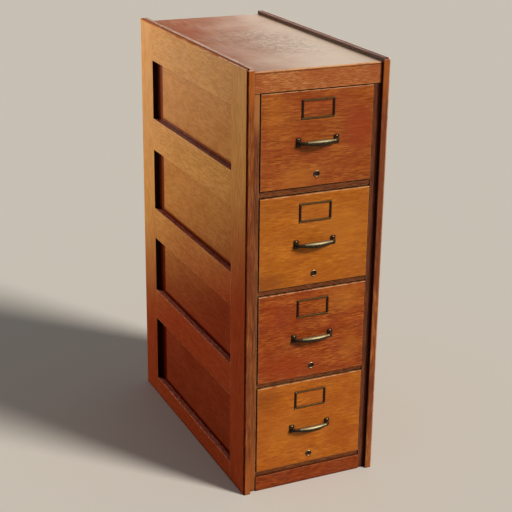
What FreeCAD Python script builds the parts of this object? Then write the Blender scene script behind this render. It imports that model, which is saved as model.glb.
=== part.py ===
import FreeCAD, Part
import os
import PartDesign
import Sketcher

# A four drawer wooden filing cabinet of the kind made for letter files.
# Two framed and panelled sides carry everything. They stand proud of the top board
# and of the face frame, and they reach the floor. Between them lie the top board, the
# bottom board, the framed back and the face frame with its rails. Each drawer hangs on
# a pair of wooden extension bars that slide in runners screwed to the sides, and holds
# a follower block on a steel guide rod that draws out through the drawer front.
# The frame: X to the right seen from the front, Y from the front to the back, Z up.
# The origin is on the floor, under the middle of the whole outline.

doc = FreeCAD.newDocument("filing_cabinet")
Vector = FreeCAD.Vector

# Driving sizes in millimetres
SIZES = {
    # Case
    "case_width": 446,
    "case_depth": 865,
    "case_height": 1320,
    "side_thickness": 23,
    "top_drop": 11,
    "top_board_thickness": 19,
    "bottom_board_thickness": 14,
    # Side frames
    "side_stile_width": 108,
    "side_top_rail_height": 120,
    "side_panel_one_height": 193,
    "side_panel_two_height": 205,
    "side_panel_three_height": 191,
    "side_middle_rail_height": 106,
    "side_bottom_rail_height": 62,
    "panel_recess": 17.5,
    "panel_thickness": 4,
    "panel_play": 0.2,
    "panel_groove_depth": 8,
    "groove_end_play": 0.5,
    "tenon_length": 45,
    "tenon_shoulder": 12,
    "bead_width": 6.5,
    "quirk_width": 2.5,
    "quirk_depth": 3,
    "lip_rounding": 3,
    "outer_rounding": 5,
    "lip_corner_rounding": 8,
    # Face frame
    "face_stile_width": 21,
    "face_board_thickness": 20,
    "face_stile_recess": 13,
    "face_top_rail_recess": 9,
    "face_top_rail_height": 61,
    "top_rail_nosing": 5,
    "divider_recess": 16,
    "divider_one_thickness": 17,
    "divider_two_thickness": 13,
    "divider_three_thickness": 10.5,
    "divider_four_thickness": 14.5,
    "divider_depth": 30,
    "plinth_recess": 9,
    "plinth_height": 49,
    # Back
    "back_thickness": 18,
    "back_rabbet_width": 10,
    "back_stile_width": 70,
    "back_rail_height": 80,
    "back_panel_recess": 6,
    "back_tenon_length": 30,
    # Drawers
    "drawer_recess": 9,
    "drawer_gap": 3,
    "drawer_side_gap": 2.5,
    "front_thickness": 22,
    "front_rounding": 2,
    "drawer_rear_gap": 48,
    "box_side_gap": 14,
    "box_side_thickness": 16,
    "box_side_drop": 39,
    "box_side_lift": 5,
    "box_back_thickness": 12,
    "box_back_inset": 10,
    "box_joint_depth": 10,
    "box_dado_depth": 5,
    "bottom_lift": 12,
    "bottom_thickness": 6,
    "bottom_groove_depth": 5,
    "bottom_play": 0.2,
    # Runners and extension bars
    "slide_height": 75,
    "runner_height": 46,
    "runner_gap": 6,
    "bar_bite": 7,
    "bar_height": 14,
    "bar_setback": 12,
    "bar_rear_inset": 54,
    "bar_end_play": 0.5,
    "slide_play": 0.3,
    # Follower block and guide rod
    "follower_side_gap": 4,
    "follower_top_gap": 13,
    "follower_thickness": 12,
    "follower_foot_width": 70,
    "follower_foot_length": 110,
    "follower_foot_height": 30,
    "follower_brace_thickness": 20,
    "follower_brace_height": 120,
    "follower_brace_length": 85,
    "follower_play": 0.3,
    "follower_rear_gap": 7,
    "rod_diameter": 9.5,
    "rod_play": 0.3,
    "rod_rise": 11,
    "rod_tail": 3,
    "rod_head_diameter": 13,
    "rod_head_length": 8,
    "rod_head_sink": 1,
    "rod_head_play": 0.5,
    "rod_slot_width": 1.6,
    "rod_slot_depth": 1.5,
    # Ferrule round the rod head
    "ferrule_wall": 1,
    "ferrule_flange_width": 2,
    "ferrule_flange_thickness": 2,
    # Cast pull
    "pull_reach": 33.5,
    "pull_plate_width": 15,
    "pull_plate_height": 26,
    "pull_plate_thickness": 3,
    "pull_plate_spacing": 120.5,
    "pull_drop": 154,
    "pull_neck_radius": 15.5,
    "pull_neck_diameter": 11,
    "pull_swell_diameter": 15,
    "pull_swell_place": 30,
    "pull_shoulder_diameter": 17.5,
    "pull_shoulder_place": 14,
    "pull_middle_diameter": 18,
    "pull_screw_spacing": 17,
    "pull_screw_diameter": 3.5,
    "pull_screw_head_diameter": 6.5,
    "pull_screw_head_height": 2,
    "pull_screw_length": 16,
    # Label holder
    "label_width": 104,
    "label_height": 58,
    "label_thickness": 3,
    "label_bar": 6,
    "label_drop": 59.5,
    "top_drawer_fittings_rise": 6.5,
    "middle_drawers_fittings_rise": 4.5,
    "card_lip": 2.5,
    "card_slot_depth": 1.2,
    "pin_inset": 2.4,
    "pin_diameter": 1.5,
    "pin_head_diameter": 3.2,
    "pin_head_height": 0.8,
    "pin_length": 9,
    # Case screws
    "runner_screw_diameter": 5,
    "runner_screw_head_diameter": 9,
    "runner_screw_head_height": 3,
    "runner_screw_bite": 13,
    "runner_screw_front": 70,
    "runner_screw_rear": 60,
    "back_screw_diameter": 4,
    "back_screw_head_diameter": 8,
    "back_screw_head_height": 2.5,
    "back_screw_bite": 14,
    "back_screw_end": 60,
    "screw_hole_play": 0.1,
}
DIVIDERS = [f"dims.divider_{word}_thickness" for word in ("one", "two", "three", "four")]
DRAWER_COUNT = len(DIVIDERS)
BACK_SCREWS_PER_SIDE = 4

sheet = doc.addObject("Spreadsheet::Sheet", "dims")
for row, (alias, size) in enumerate(SIZES.items(), start=1):
    sheet.set(f"A{row}", str(size))
    sheet.setAlias(f"A{row}", alias)
doc.recompute()

# The pieces that are written out, each under the name of its file
pieces = []


def value(expression):
    """The present value of an expression in the sheet's names."""
    return float(sheet.evalExpression(str(expression)))


def keep(piece, label):
    """Name a finished piece and put it on the list."""
    piece.Label = label
    pieces.append(piece)
    return piece


# Plain boards, cuts and groups

def board(name, x, y, z):
    """A square edged board between pairs of limits, each pair in either order."""
    box = doc.addObject("Part::Box", name)
    for axis, side, pair in (("x", "Length", x), ("y", "Width", y), ("z", "Height", z)):
        low, high = sorted(pair, key=value)
        box.setExpression(f"Placement.Base.{axis}", low)
        box.setExpression(side, f"({high}) - ({low})")
    return box


def group(name, members):
    """Several separate solids in one piece."""
    compound = doc.addObject("Part::Compound", name)
    compound.Links = members
    return compound


def joined(name, members):
    """One solid made of several that meet."""
    fusion = doc.addObject("Part::MultiFuse", name)
    fusion.Shapes = members
    return fusion


def cut(name, base, tools):
    """A piece with the given tools taken out of it."""
    result = doc.addObject("Part::Cut", name)
    result.Base = base
    result.Tool = tools[0] if len(tools) == 1 else group(name + "_tools", tools)
    return result


AXIS_TURN = {
    "x": FreeCAD.Rotation(Vector(0, 1, 0), 90),
    "y": FreeCAD.Rotation(Vector(1, 0, 0), -90),
    "z": FreeCAD.Rotation(),
}


def pin(name, axis, start, length, diameter, tip_diameter=None):
    """A round pin along +X, +Y or +Z from its start point, tapered if a tip is given."""
    if tip_diameter is None:
        rod = doc.addObject("Part::Cylinder", name)
        rod.setExpression("Radius", f"({diameter}) / 2")
    else:
        rod = doc.addObject("Part::Cone", name)
        rod.setExpression("Radius1", f"({diameter}) / 2")
        rod.setExpression("Radius2", f"({tip_diameter}) / 2")
    rod.setExpression("Height", length)
    rod.Placement = FreeCAD.Placement(Vector(), AXIS_TURN[axis])
    for letter, position in zip("xyz", start):
        rod.setExpression(f"Placement.Base.{letter}", position)
    return rod


# Bodies built up from sketches

PLANE_NORMAL = {"XY_Plane": 1, "XZ_Plane": -1, "YZ_Plane": 1}


def new_sketch(body, plane, offset, lift="0"):
    """An empty sketch on one of the body's own planes, moved along the plane's normal."""
    sketch = body.newObject("Sketcher::SketchObject", body.Name + "_sketch")
    own_plane = [item for item in body.Origin.OriginFeatures if item.Role == plane][0]
    sketch.AttachmentSupport = [(own_plane, "")]
    sketch.MapMode = "FlatFace"
    sketch.setExpression("AttachmentOffset.Base.z", f"{PLANE_NORMAL[plane]} * ({offset})")
    sketch.setExpression("AttachmentOffset.Base.y", lift)
    return sketch


def draw_outline(sketch, points):
    """A closed outline, each corner set off from the sketch's origin."""
    first = sketch.GeometryCount
    corners = [Vector(value(a), value(b), 0) for a, b in points]
    count = len(corners)
    for index in range(count):
        sketch.addGeometry(Part.LineSegment(corners[index], corners[(index + 1) % count]))
    for index in range(count):
        line = first + index
        following = first + (index + 1) % count
        sketch.addConstraint(Sketcher.Constraint("Coincident", line, 2, following, 1))
        for kind, place in (("DistanceX", 0), ("DistanceY", 1)):
            constraint = Sketcher.Constraint(kind, -1, 1, line, 1, corners[index][place])
            number = sketch.addConstraint(constraint)
            sketch.setExpression(f"Constraints[{number}]", points[index][place])


def draw_circle(sketch, centre, diameter):
    """A circle set off from the sketch's origin."""
    middle = Vector(value(centre[0]), value(centre[1]), 0)
    radius = value(diameter) / 2
    circle = sketch.addGeometry(Part.Circle(middle, Vector(0, 0, 1), radius))
    number = sketch.addConstraint(Sketcher.Constraint("Radius", circle, radius))
    sketch.setExpression(f"Constraints[{number}]", f"({diameter}) / 2")
    for kind, place in (("DistanceX", 0), ("DistanceY", 1)):
        constraint = Sketcher.Constraint(kind, -1, 1, circle, 3, middle[place])
        number = sketch.addConstraint(constraint)
        sketch.setExpression(f"Constraints[{number}]", centre[place])


def rectangle(a, b):
    """The corners of a rectangle between two pairs of limits."""
    return [(a[0], b[0]), (a[1], b[0]), (a[1], b[1]), (a[0], b[1])]


def swept(body, kind, plane, near, far, outlines=(), circles=()):
    """Add or cut a straight sweep of outlines and circles from the near to the far limit."""
    sketch = new_sketch(body, plane, near)
    for points in outlines:
        draw_outline(sketch, points)
    for centre, diameter in circles:
        draw_circle(sketch, centre, diameter)
    feature = body.newObject(f"PartDesign::{kind}", f"{body.Name}_{kind.lower()}")
    feature.Profile = sketch
    forward = (value(far) - value(near)) * PLANE_NORMAL[plane] > 0
    feature.Reversed = forward if kind == "Pocket" else not forward
    if value(far) > value(near):
        feature.setExpression("Length", f"({far}) - ({near})")
    else:
        feature.setExpression("Length", f"({near}) - ({far})")
    doc.recompute()
    return feature


def add(body, plane, near, far, outlines=(), circles=()):
    return swept(body, "Pad", plane, near, far, outlines, circles)


def take(body, plane, near, far, outlines=(), circles=()):
    return swept(body, "Pocket", plane, near, far, outlines, circles)


def turned(name, x, z, points):
    """A piece turned about a line along Y, from pairs of place along Y and radius."""
    body = doc.addObject("PartDesign::Body", name)
    sketch = new_sketch(body, "YZ_Plane", x, lift=z)
    draw_outline(sketch, points)
    feature = body.newObject("PartDesign::Revolution", name + "_revolution")
    feature.Profile = sketch
    feature.ReferenceAxis = (sketch, ["H_Axis"])
    feature.Angle = 360
    doc.recompute()
    return body


def round_edges(body, radius, chosen):
    """Round the edges of the body's newest feature that lie where the test says."""
    feature = body.Tip
    names = []
    for number, edge in enumerate(feature.Shape.Edges, start=1):
        if all(chosen(vertex.Point) for vertex in edge.Vertexes):
            names.append(f"Edge{number}")
    fillet = body.newObject("PartDesign::Fillet", body.Name + "_rounding")
    fillet.Base = (feature, names)
    fillet.setExpression("Radius", radius)
    doc.recompute()


def near_to(place, expression):
    """True where a coordinate lies on the given limit."""
    return abs(place - value(expression)) < 0.01


# Limits of the case that several pieces share

lip = "((dims.pull_reach - dims.drawer_recess - dims.case_depth) / 2)"
rear = f"({lip} + dims.case_depth)"
outer = "(dims.case_width / 2)"
inner = "(dims.case_width / 2 - dims.side_thickness)"
top_of_board = "(dims.case_height - dims.top_drop)"
under_board = f"({top_of_board} - dims.top_board_thickness)"
under_top_rail = f"({top_of_board} - dims.face_top_rail_height)"
back_front = f"({rear} - dims.back_thickness)"
box_end = f"({back_front} - dims.drawer_rear_gap)"
face_back = f"({lip} + dims.face_stile_recess + dims.face_board_thickness)"
opening_half = f"({inner} - dims.face_stile_width)"
box_half = f"({opening_half} - dims.box_side_gap)"
runner_face = f"({box_half} + dims.runner_gap)"
groove_half = "(dims.bar_height / 2 + dims.slide_play)"
between_drawers = f"({' + '.join(DIVIDERS)} + {2 * DRAWER_COUNT} * dims.drawer_gap)"
all_fronts = f"({under_top_rail} - dims.plinth_height - {between_drawers})"
front_height = f"({all_fronts} / {DRAWER_COUNT})"


def drawer_floor(number):
    """The lower edge of a drawer front, the top drawer being number one."""
    dividers = " + ".join(["0"] + DIVIDERS[:number - 1])
    gaps = f"{2 * number - 1} * dims.drawer_gap"
    return f"({under_top_rail} - {number} * {front_height} - {gaps} - ({dividers}))"


# Side frames: two stiles, five rails and four recessed panels a side.
# The rails are tenoned into the stiles and the panels float in grooves.

stile_back = f"({lip} + dims.side_stile_width)"
rear_stile_front = f"({rear} - dims.side_stile_width)"
groove_near = "(dims.panel_recess - dims.panel_play)"
groove_far = "(dims.panel_recess + dims.panel_thickness + dims.panel_play)"
panel_far = "(dims.panel_recess + dims.panel_thickness)"
quirk_far = "(dims.bead_width + dims.quirk_width)"


def side_rail_limits():
    """The lower and upper edge of the five rails of a side, from the top down."""
    upper = "dims.case_height"
    lower = "(dims.case_height - dims.side_top_rail_height)"
    limits = [(lower, upper)]
    for panel in ("one", "two", "three"):
        upper = f"({lower} - dims.side_panel_{panel}_height)"
        lower = f"({upper} - dims.side_middle_rail_height)"
        limits.append((lower, upper))
    limits.append(("0", "dims.side_bottom_rail_height"))
    return limits


SIDE_RAILS = side_rail_limits()
SIDE_PANELS = [(SIDE_RAILS[i + 1][1], SIDE_RAILS[i][0]) for i in range(4)]


def grown(limits, by):
    """A pair of limits moved apart by the same amount at both ends."""
    return (f"({limits[0]} - ({by}))", f"({limits[1]} + ({by}))")


def side_frame(name, hand):
    """One whole side, hand being -1 for the left and 1 for the right."""

    def across(distance):
        return f"({hand} * ({outer} - ({distance})))"

    groove_across = (across(groove_near), across(groove_far))
    panel_across = (across("dims.panel_recess"), across(panel_far))
    tenon_zones = [grown(rail, "-dims.tenon_shoulder") for rail in SIDE_RAILS]
    groove_zones = [grown(panel, "dims.panel_groove_depth") for panel in SIDE_PANELS]

    def grooves_and_mortises(body, edge, into):
        """Panel grooves and tenon holes in a stile's inner edge, cut towards into."""
        grooves = [rectangle(groove_across, zone) for zone in groove_zones]
        take(body, "XZ_Plane", edge, f"({edge} + {into} * dims.panel_groove_depth)", grooves)
        holes = [rectangle(groove_across, grown(zone, "dims.panel_play")) for zone in tenon_zones]
        depth = "(dims.tenon_length + dims.groove_end_play)"
        take(body, "XZ_Plane", edge, f"({edge} + {into} * {depth})", holes)

    def top_quirk(body, near, far):
        """The dark line that runs along the top, a bead's width from the outer face."""
        strip = rectangle((across("dims.bead_width"), across(quirk_far)), (near, far))
        low = "(dims.case_height - dims.quirk_depth)"
        take(body, "XY_Plane", "dims.case_height", low, [strip])

    def at_top(point):
        return near_to(point.z, "dims.case_height")

    def at_top_or_lip(point):
        return at_top(point) or near_to(point.y, lip)

    def round_outer_edge(body):
        round_edges(body, "dims.outer_rounding",
                    lambda point: near_to(abs(point.x), outer) and at_top_or_lip(point))

    through = (across("0"), across("dims.side_thickness"))
    front = doc.addObject("PartDesign::Body", f"{name}_front_stile_body")
    add(front, "XY_Plane", "0", "dims.case_height", [rectangle(through, (lip, stile_back))])
    round_edges(front, "dims.lip_corner_rounding",
                lambda point: at_top(point) and near_to(point.y, lip))
    round_edges(front, "dims.lip_rounding",
                lambda point: near_to(abs(point.x), inner) and at_top_or_lip(point))
    round_outer_edge(front)
    grooves_and_mortises(front, stile_back, -1)
    top_quirk(front, lip, stile_back)
    holes = runner_screw_holes(name, hand, "front")
    keep(cut(f"{name}_front_stile_drilled", front, holes), f"{name}_front_stile")

    back = doc.addObject("PartDesign::Body", f"{name}_rear_stile_body")
    rabbet = "(dims.side_thickness - dims.back_rabbet_width)"
    profile = [
        (across("0"), rear_stile_front),
        (across("dims.side_thickness"), rear_stile_front),
        (across("dims.side_thickness"), back_front),
        (across(rabbet), back_front),
        (across(rabbet), rear),
        (across("0"), rear),
    ]
    add(back, "XY_Plane", "0", "dims.case_height", [profile])
    round_outer_edge(back)
    grooves_and_mortises(back, rear_stile_front, 1)
    top_quirk(back, rear_stile_front, rear)
    seat = rectangle((across("dims.side_thickness"), across(rabbet)), (back_front, rear))
    add(back, "XY_Plane", under_board, "dims.case_height", [seat])
    holes = back_screw_holes(name, hand) + runner_screw_holes(name, hand, "rear")
    keep(cut(f"{name}_rear_stile_drilled", back, holes), f"{name}_rear_stile")

    rails = []
    cavities = []
    for number, zone in enumerate(groove_zones, start=1):
        along = grown((stile_back, rear_stile_front), "dims.panel_groove_depth")
        cavities.append(board(f"{name}_panel_cavity_{number}", groove_across, along, zone))
    for number, rail in enumerate(SIDE_RAILS, start=1):
        own = f"{name}_rail_{number}"
        plain = doc.addObject("PartDesign::Body", own)
        add(plain, "XY_Plane", rail[0], rail[1],
            [rectangle(through, (stile_back, rear_stile_front))])
        if number == 1:
            round_outer_edge(plain)
            top_quirk(plain, stile_back, rear_stile_front)
        reach = grown((stile_back, rear_stile_front), "dims.tenon_length")
        tenon = board(f"{own}_tenon", panel_across, reach, tenon_zones[number - 1])
        solid = joined(f"{own}_joined", [plain, tenon])
        near_cavities = cavities[max(0, number - 2):number]
        rails.append(cut(f"{own}_grooved", solid, near_cavities))
    keep(group(f"{name}_rails", rails), f"{name}_rails")

    reach = "(dims.panel_groove_depth - dims.groove_end_play)"
    along = grown((stile_back, rear_stile_front), reach)
    panels = []
    for number, panel in enumerate(SIDE_PANELS, start=1):
        panels.append(board(f"{name}_panel_{number}", panel_across, along, grown(panel, reach)))
    keep(group(f"{name}_panels", panels), f"{name}_panels")


# Screws. Each head lies flush in its own counterbore.

RUNNER_SCREW_PLACES = {
    "front": f"({lip} + dims.runner_screw_front)",
    "rear": f"({rear} - dims.runner_screw_rear)",
}


def slide_line(number):
    """The height of the middle of a drawer's runners and bars."""
    return f"({drawer_floor(number)} + dims.slide_height)"


def runner_screw(name, hand, number, place, play="0"):
    """A screw through a runner into a side stile, or with play its hole."""
    height = f"({slide_line(number)} + ({groove_half} + dims.runner_height / 2) / 2)"
    length = f"({inner} - {runner_face} + dims.runner_screw_bite + {play})"
    head = f"(dims.runner_screw_head_height + {play})"
    along = RUNNER_SCREW_PLACES[place]
    start = runner_face if hand > 0 else f"(-{runner_face} - {length})"
    shank = pin(f"{name}_shank", "x", (start, along, height), length,
                f"dims.runner_screw_diameter + 2 * ({play})")
    start = runner_face if hand > 0 else f"(-{runner_face} - {head})"
    cap = pin(f"{name}_cap", "x", (start, along, height), head,
              f"dims.runner_screw_head_diameter + 2 * ({play})")
    return joined(name, [shank, cap])


def runner_screw_holes(name, hand, place):
    """The holes that one stile needs for the screws of its runners."""
    holes = []
    for number in range(1, DRAWER_COUNT + 1):
        own = f"{name}_{place}_runner_hole_{number}"
        holes.append(runner_screw(own, hand, number, place, "dims.screw_hole_play"))
    return holes


def back_screw(name, hand, number, play="0"):
    """A screw through the back frame into a rear stile, or with play its hole."""
    aside = f"({hand} * ({inner} + dims.back_rabbet_width / 2))"
    span = f"({under_board} - 2 * dims.back_screw_end)"
    height = f"(dims.back_screw_end + {number} * {span} / {BACK_SCREWS_PER_SIDE - 1})"
    length = f"(dims.back_thickness + dims.back_screw_bite + {play})"
    head = f"(dims.back_screw_head_height + {play})"
    shank = pin(f"{name}_shank", "y", (aside, f"({rear} - {length})", height), length,
                f"dims.back_screw_diameter + 2 * ({play})")
    cap = pin(f"{name}_cap", "y", (aside, f"({rear} - {head})", height), head,
              f"dims.back_screw_head_diameter + 2 * ({play})")
    return joined(name, [shank, cap])


def back_screw_holes(name, hand):
    holes = []
    for number in range(BACK_SCREWS_PER_SIDE):
        own = f"{name}_back_hole_{number}"
        holes.append(back_screw(own, hand, number, "dims.screw_hole_play"))
    return holes


def case_screws():
    screws = []
    for name, hand in (("left", -1), ("right", 1)):
        for number in range(1, DRAWER_COUNT + 1):
            for place in RUNNER_SCREW_PLACES:
                own = f"{name}_{place}_runner_screw_{number}"
                screws.append(runner_screw(own, hand, number, place))
        for number in range(BACK_SCREWS_PER_SIDE):
            screws.append(back_screw(f"{name}_back_screw_{number}", hand, number))
    keep(group("case_screws", screws), "case_screws")


# Top board, bottom board and face frame

def face_frame():
    full = (f"-{inner}", inner)
    opening = (f"-{opening_half}", opening_half)
    rail_front = f"({lip} + dims.face_top_rail_recess)"
    rail_back = f"({rail_front} + dims.face_board_thickness)"
    nosing_back = f"({rail_front} + dims.top_rail_nosing)"
    top = board("top_board", full, (nosing_back, rear), (under_board, top_of_board))
    keep(top, "top_board")

    rail = doc.addObject("PartDesign::Body", "face_top_rail")
    profile = [
        (rail_front, under_top_rail),
        (rail_front, top_of_board),
        (nosing_back, top_of_board),
        (nosing_back, under_board),
        (rail_back, under_board),
        (rail_back, under_top_rail),
    ]
    add(rail, "YZ_Plane", full[0], full[1], [profile])
    keep(rail, "face_top_rail")

    stile_depth = (f"{lip} + dims.face_stile_recess", face_back)
    for name, hand in (("left", -1), ("right", 1)):
        width = (f"{hand} * {opening_half}", f"{hand} * {inner}")
        keep(board(f"face_{name}_stile", width, stile_depth, ("0", under_top_rail)),
             f"face_{name}_stile")

    dividers = []
    front = f"({lip} + dims.divider_recess)"
    for number, thickness in enumerate(DIVIDERS, start=1):
        top = f"({drawer_floor(number)} - dims.drawer_gap)"
        dividers.append(board(f"divider_rail_{number}", opening,
                              (front, f"({front} + dims.divider_depth)"),
                              (f"({top} - {thickness})", top)))
    keep(group("divider_rails", dividers), "divider_rails")
    plinth_depth = (f"{lip} + dims.plinth_recess", face_back)
    keep(board("plinth_rail", opening, plinth_depth, ("0", "dims.plinth_height")), "plinth_rail")
    floor_depth = ("dims.plinth_height - dims.bottom_board_thickness", "dims.plinth_height")
    keep(board("bottom_board", full, (face_back, back_front), floor_depth), "bottom_board")


# Back: two stiles, three rails and two panels, screwed into rabbets in the sides

def back():
    half = f"({inner} + dims.back_rabbet_width)"
    stile_edge = f"({half} - dims.back_stile_width)"
    depth = (back_front, rear)
    panel_front = f"({rear} - dims.back_panel_recess - dims.panel_thickness)"
    panel_depth = (panel_front, f"({panel_front} + dims.panel_thickness)")
    groove_depth = grown(panel_depth, "dims.panel_play")
    between = (f"-{stile_edge}", stile_edge)
    middle = f"({under_board} / 2)"
    rails = [
        (f"({under_board} - dims.back_rail_height)", under_board),
        grown((middle, middle), "dims.back_rail_height / 2"),
        ("0", "dims.back_rail_height"),
    ]
    openings = [(rails[1][1], rails[0][0]), (rails[2][1], rails[1][0])]
    cavities = []
    for number, opening in enumerate(openings, start=1):
        cavities.append(board(f"back_cavity_{number}", grown(between, "dims.panel_groove_depth"),
                              groove_depth, grown(opening, "dims.panel_groove_depth")))
    tenons = []
    mortises = []
    for number, rail in enumerate(rails, start=1):
        zone = grown(rail, "-dims.tenon_shoulder")
        reach = grown(between, "dims.back_tenon_length")
        tenons.append(board(f"back_tenon_{number}", reach, panel_depth, zone))
        room = grown(between, "dims.back_tenon_length + dims.groove_end_play")
        mortises.append(board(f"back_mortise_{number}", room, groove_depth,
                              grown(zone, "dims.panel_play")))
    members = []
    for name, hand in (("left", -1), ("right", 1)):
        stile = board(f"back_{name}_stile", (f"{hand} * {stile_edge}", f"{hand} * {half}"),
                      depth, ("0", under_board))
        holes = back_screw_holes(f"back_{name}", hand)
        members.append(cut(f"back_{name}_stile_worked", stile, cavities + holes))
        members[-1] = cut(f"back_{name}_stile_morticed", members[-1], mortises)
    for number, rail in enumerate(rails, start=1):
        plain = board(f"back_rail_{number}", between, depth, rail)
        solid = joined(f"back_rail_{number}_joined", [plain, tenons[number - 1]])
        members.append(cut(f"back_rail_{number}_grooved", solid, cavities))
    keep(group("back_frame", members), "back_frame")
    reach = "(dims.panel_groove_depth - dims.groove_end_play)"
    panels = []
    for number, opening in enumerate(openings, start=1):
        panels.append(board(f"back_panel_{number}", grown(between, reach), panel_depth,
                            grown(opening, reach)))
    keep(group("back_panels", panels), "back_panels")


# Runners: grooved wooden rails screwed to the sides. The groove is closed at its rear
# end, which stops the extension bar when the drawer shuts.

bar_front = f"({face_back} + dims.bar_setback)"
bar_rear = f"({box_end} - dims.bar_rear_inset)"
bite_depth = "(dims.bar_bite + dims.slide_play)"


def runners(name, hand):
    members = []
    for number in range(1, DRAWER_COUNT + 1):
        middle = slide_line(number)
        own = f"{name}_runner_{number}"
        plain = board(own, (f"{hand} * {runner_face}", f"{hand} * {inner}"),
                      (face_back, back_front),
                      grown((middle, middle), "dims.runner_height / 2"))
        groove = board(f"{own}_groove",
                       (f"{hand} * {runner_face}", f"{hand} * ({runner_face} + {bite_depth})"),
                       (face_back, f"({bar_rear} + dims.bar_end_play)"),
                       grown((middle, middle), groove_half))
        holes = []
        for place in RUNNER_SCREW_PLACES:
            hole = f"{own}_{place}_hole"
            holes.append(runner_screw(hole, hand, number, place, "dims.screw_hole_play"))
        members.append(cut(f"{own}_worked", plain, [groove] + holes))
    keep(group(f"{name}_case_runners", members), f"{name}_case_runners")


# Drawer boxes

face = f"({lip} + dims.drawer_recess)"
front_back = f"({face} + dims.front_thickness)"
box_inside = f"({box_half} - dims.box_side_thickness)"
box_back_rear = f"({box_end} - dims.box_back_inset)"
box_back_front = f"({box_back_rear} - dims.box_back_thickness)"
front_half = f"({opening_half} - dims.drawer_side_gap)"
rod_bore = "(dims.rod_diameter + 2 * dims.rod_play)"
ferrule_step = f"({face} + dims.rod_head_sink + dims.rod_head_length + dims.rod_play)"
ferrule_bore = "(dims.rod_head_diameter + 2 * dims.rod_head_play)"
ferrule_tube = f"({ferrule_bore} + 2 * dims.ferrule_wall)"
ferrule_flange = f"({ferrule_tube} + 2 * dims.ferrule_flange_width)"
PULL_SCREW_SIGNS = [(-1, -1), (-1, 1), (1, -1), (1, 1)]


class DrawerLimits:
    """The heights that the pieces of one drawer share."""

    def __init__(self, number):
        self.name = f"drawer_{number}"
        self.floor = drawer_floor(number)
        self.top = f"({self.floor} + {front_height})"
        self.side = (f"({self.floor} + dims.box_side_lift)",
                     f"({self.top} - dims.box_side_drop)")
        self.bottom = (f"({self.floor} + dims.bottom_lift)",
                       f"({self.floor} + dims.bottom_lift + dims.bottom_thickness)")
        self.slide = slide_line(number)
        rise = {1: "dims.top_drawer_fittings_rise", 2: "dims.middle_drawers_fittings_rise",
                3: "dims.middle_drawers_fittings_rise"}.get(number, "0")
        self.rod = f"({self.bottom[1]} + dims.rod_rise + {rise})"
        self.pull = f"({self.top} - dims.pull_drop + {rise})"
        self.label = f"({self.top} - dims.label_drop + {rise})"

    def pull_screws(self):
        """The places of the four screws of the pull."""
        return [(f"({a} * dims.pull_plate_spacing / 2)",
                 f"({self.pull} + {b} * dims.pull_screw_spacing / 2)")
                for a, b in PULL_SCREW_SIGNS]

    def label_pins(self):
        """The places of the four pins of the label holder."""
        return [(f"({a} * (dims.label_width / 2 - dims.pin_inset))",
                 f"({self.label} + {b} * (dims.label_height / 2 - dims.pin_inset))")
                for a, b in PULL_SCREW_SIGNS]


def drawer_front(limits):
    """The front board, with sockets behind for the sides and a groove for the bottom."""
    body = doc.addObject("PartDesign::Body", f"{limits.name}_front")
    width = (f"-{front_half}", front_half)
    add(body, "XZ_Plane", front_back, face, [rectangle(width, (limits.floor, limits.top))])
    round_edges(body, "dims.front_rounding", lambda point: near_to(point.y, face))
    sockets = [rectangle((f"{hand} * {box_inside}", f"{hand} * {box_half}"), limits.side)
               for hand in (-1, 1)]
    take(body, "XZ_Plane", front_back, f"({front_back} - dims.box_joint_depth)", sockets)
    groove_width = f"({box_inside} + dims.bottom_groove_depth)"
    groove = rectangle((f"-{groove_width}", groove_width), grown(limits.bottom, "dims.bottom_play"))
    take(body, "XZ_Plane", front_back, f"({front_back} - dims.bottom_groove_depth)", [groove])
    take(body, "XZ_Plane", face, front_back,
         circles=[(("0", limits.rod), ferrule_tube)])
    screw_end = f"({face} + dims.pull_screw_length)"
    take(body, "XZ_Plane", face, screw_end,
         circles=[(place, "dims.pull_screw_diameter") for place in limits.pull_screws()])
    pin_end = f"({face} + dims.pin_length)"
    take(body, "XZ_Plane", face, pin_end,
         circles=[(place, "dims.pin_diameter") for place in limits.label_pins()])
    keep(body, f"{limits.name}_front")


def drawer_sides(limits):
    """Two side boards, grooved outside for the bar and inside for the bottom."""
    members = []
    along = (f"({front_back} - dims.box_joint_depth)", box_end)
    for name, hand in (("left", -1), ("right", 1)):
        own = f"{limits.name}_{name}_side"
        plain = board(own, (f"{hand} * {box_inside}", f"{hand} * {box_half}"), along, limits.side)
        slide_groove = board(f"{own}_slide_groove",
                             (f"{hand} * ({box_half} - {bite_depth})", f"{hand} * {box_half}"),
                             (f"({bar_front} - dims.bar_end_play)", box_end),
                             grown((limits.slide, limits.slide), groove_half))
        deep = f"{hand} * ({box_inside} + dims.bottom_groove_depth)"
        bottom_groove = board(f"{own}_bottom_groove", (f"{hand} * {box_inside}", deep), along,
                              grown(limits.bottom, "dims.bottom_play"))
        deep = f"{hand} * ({box_inside} + dims.box_dado_depth)"
        back_dado = board(f"{own}_back_dado", (f"{hand} * {box_inside}", deep),
                          (box_back_front, box_back_rear), (limits.bottom[1], limits.side[1]))
        members.append(cut(f"{own}_worked", plain, [slide_groove, bottom_groove]))
        members[-1] = cut(f"{own}_dadoed", members[-1], [back_dado])
    keep(group(f"{limits.name}_sides", members), f"{limits.name}_sides")


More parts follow.
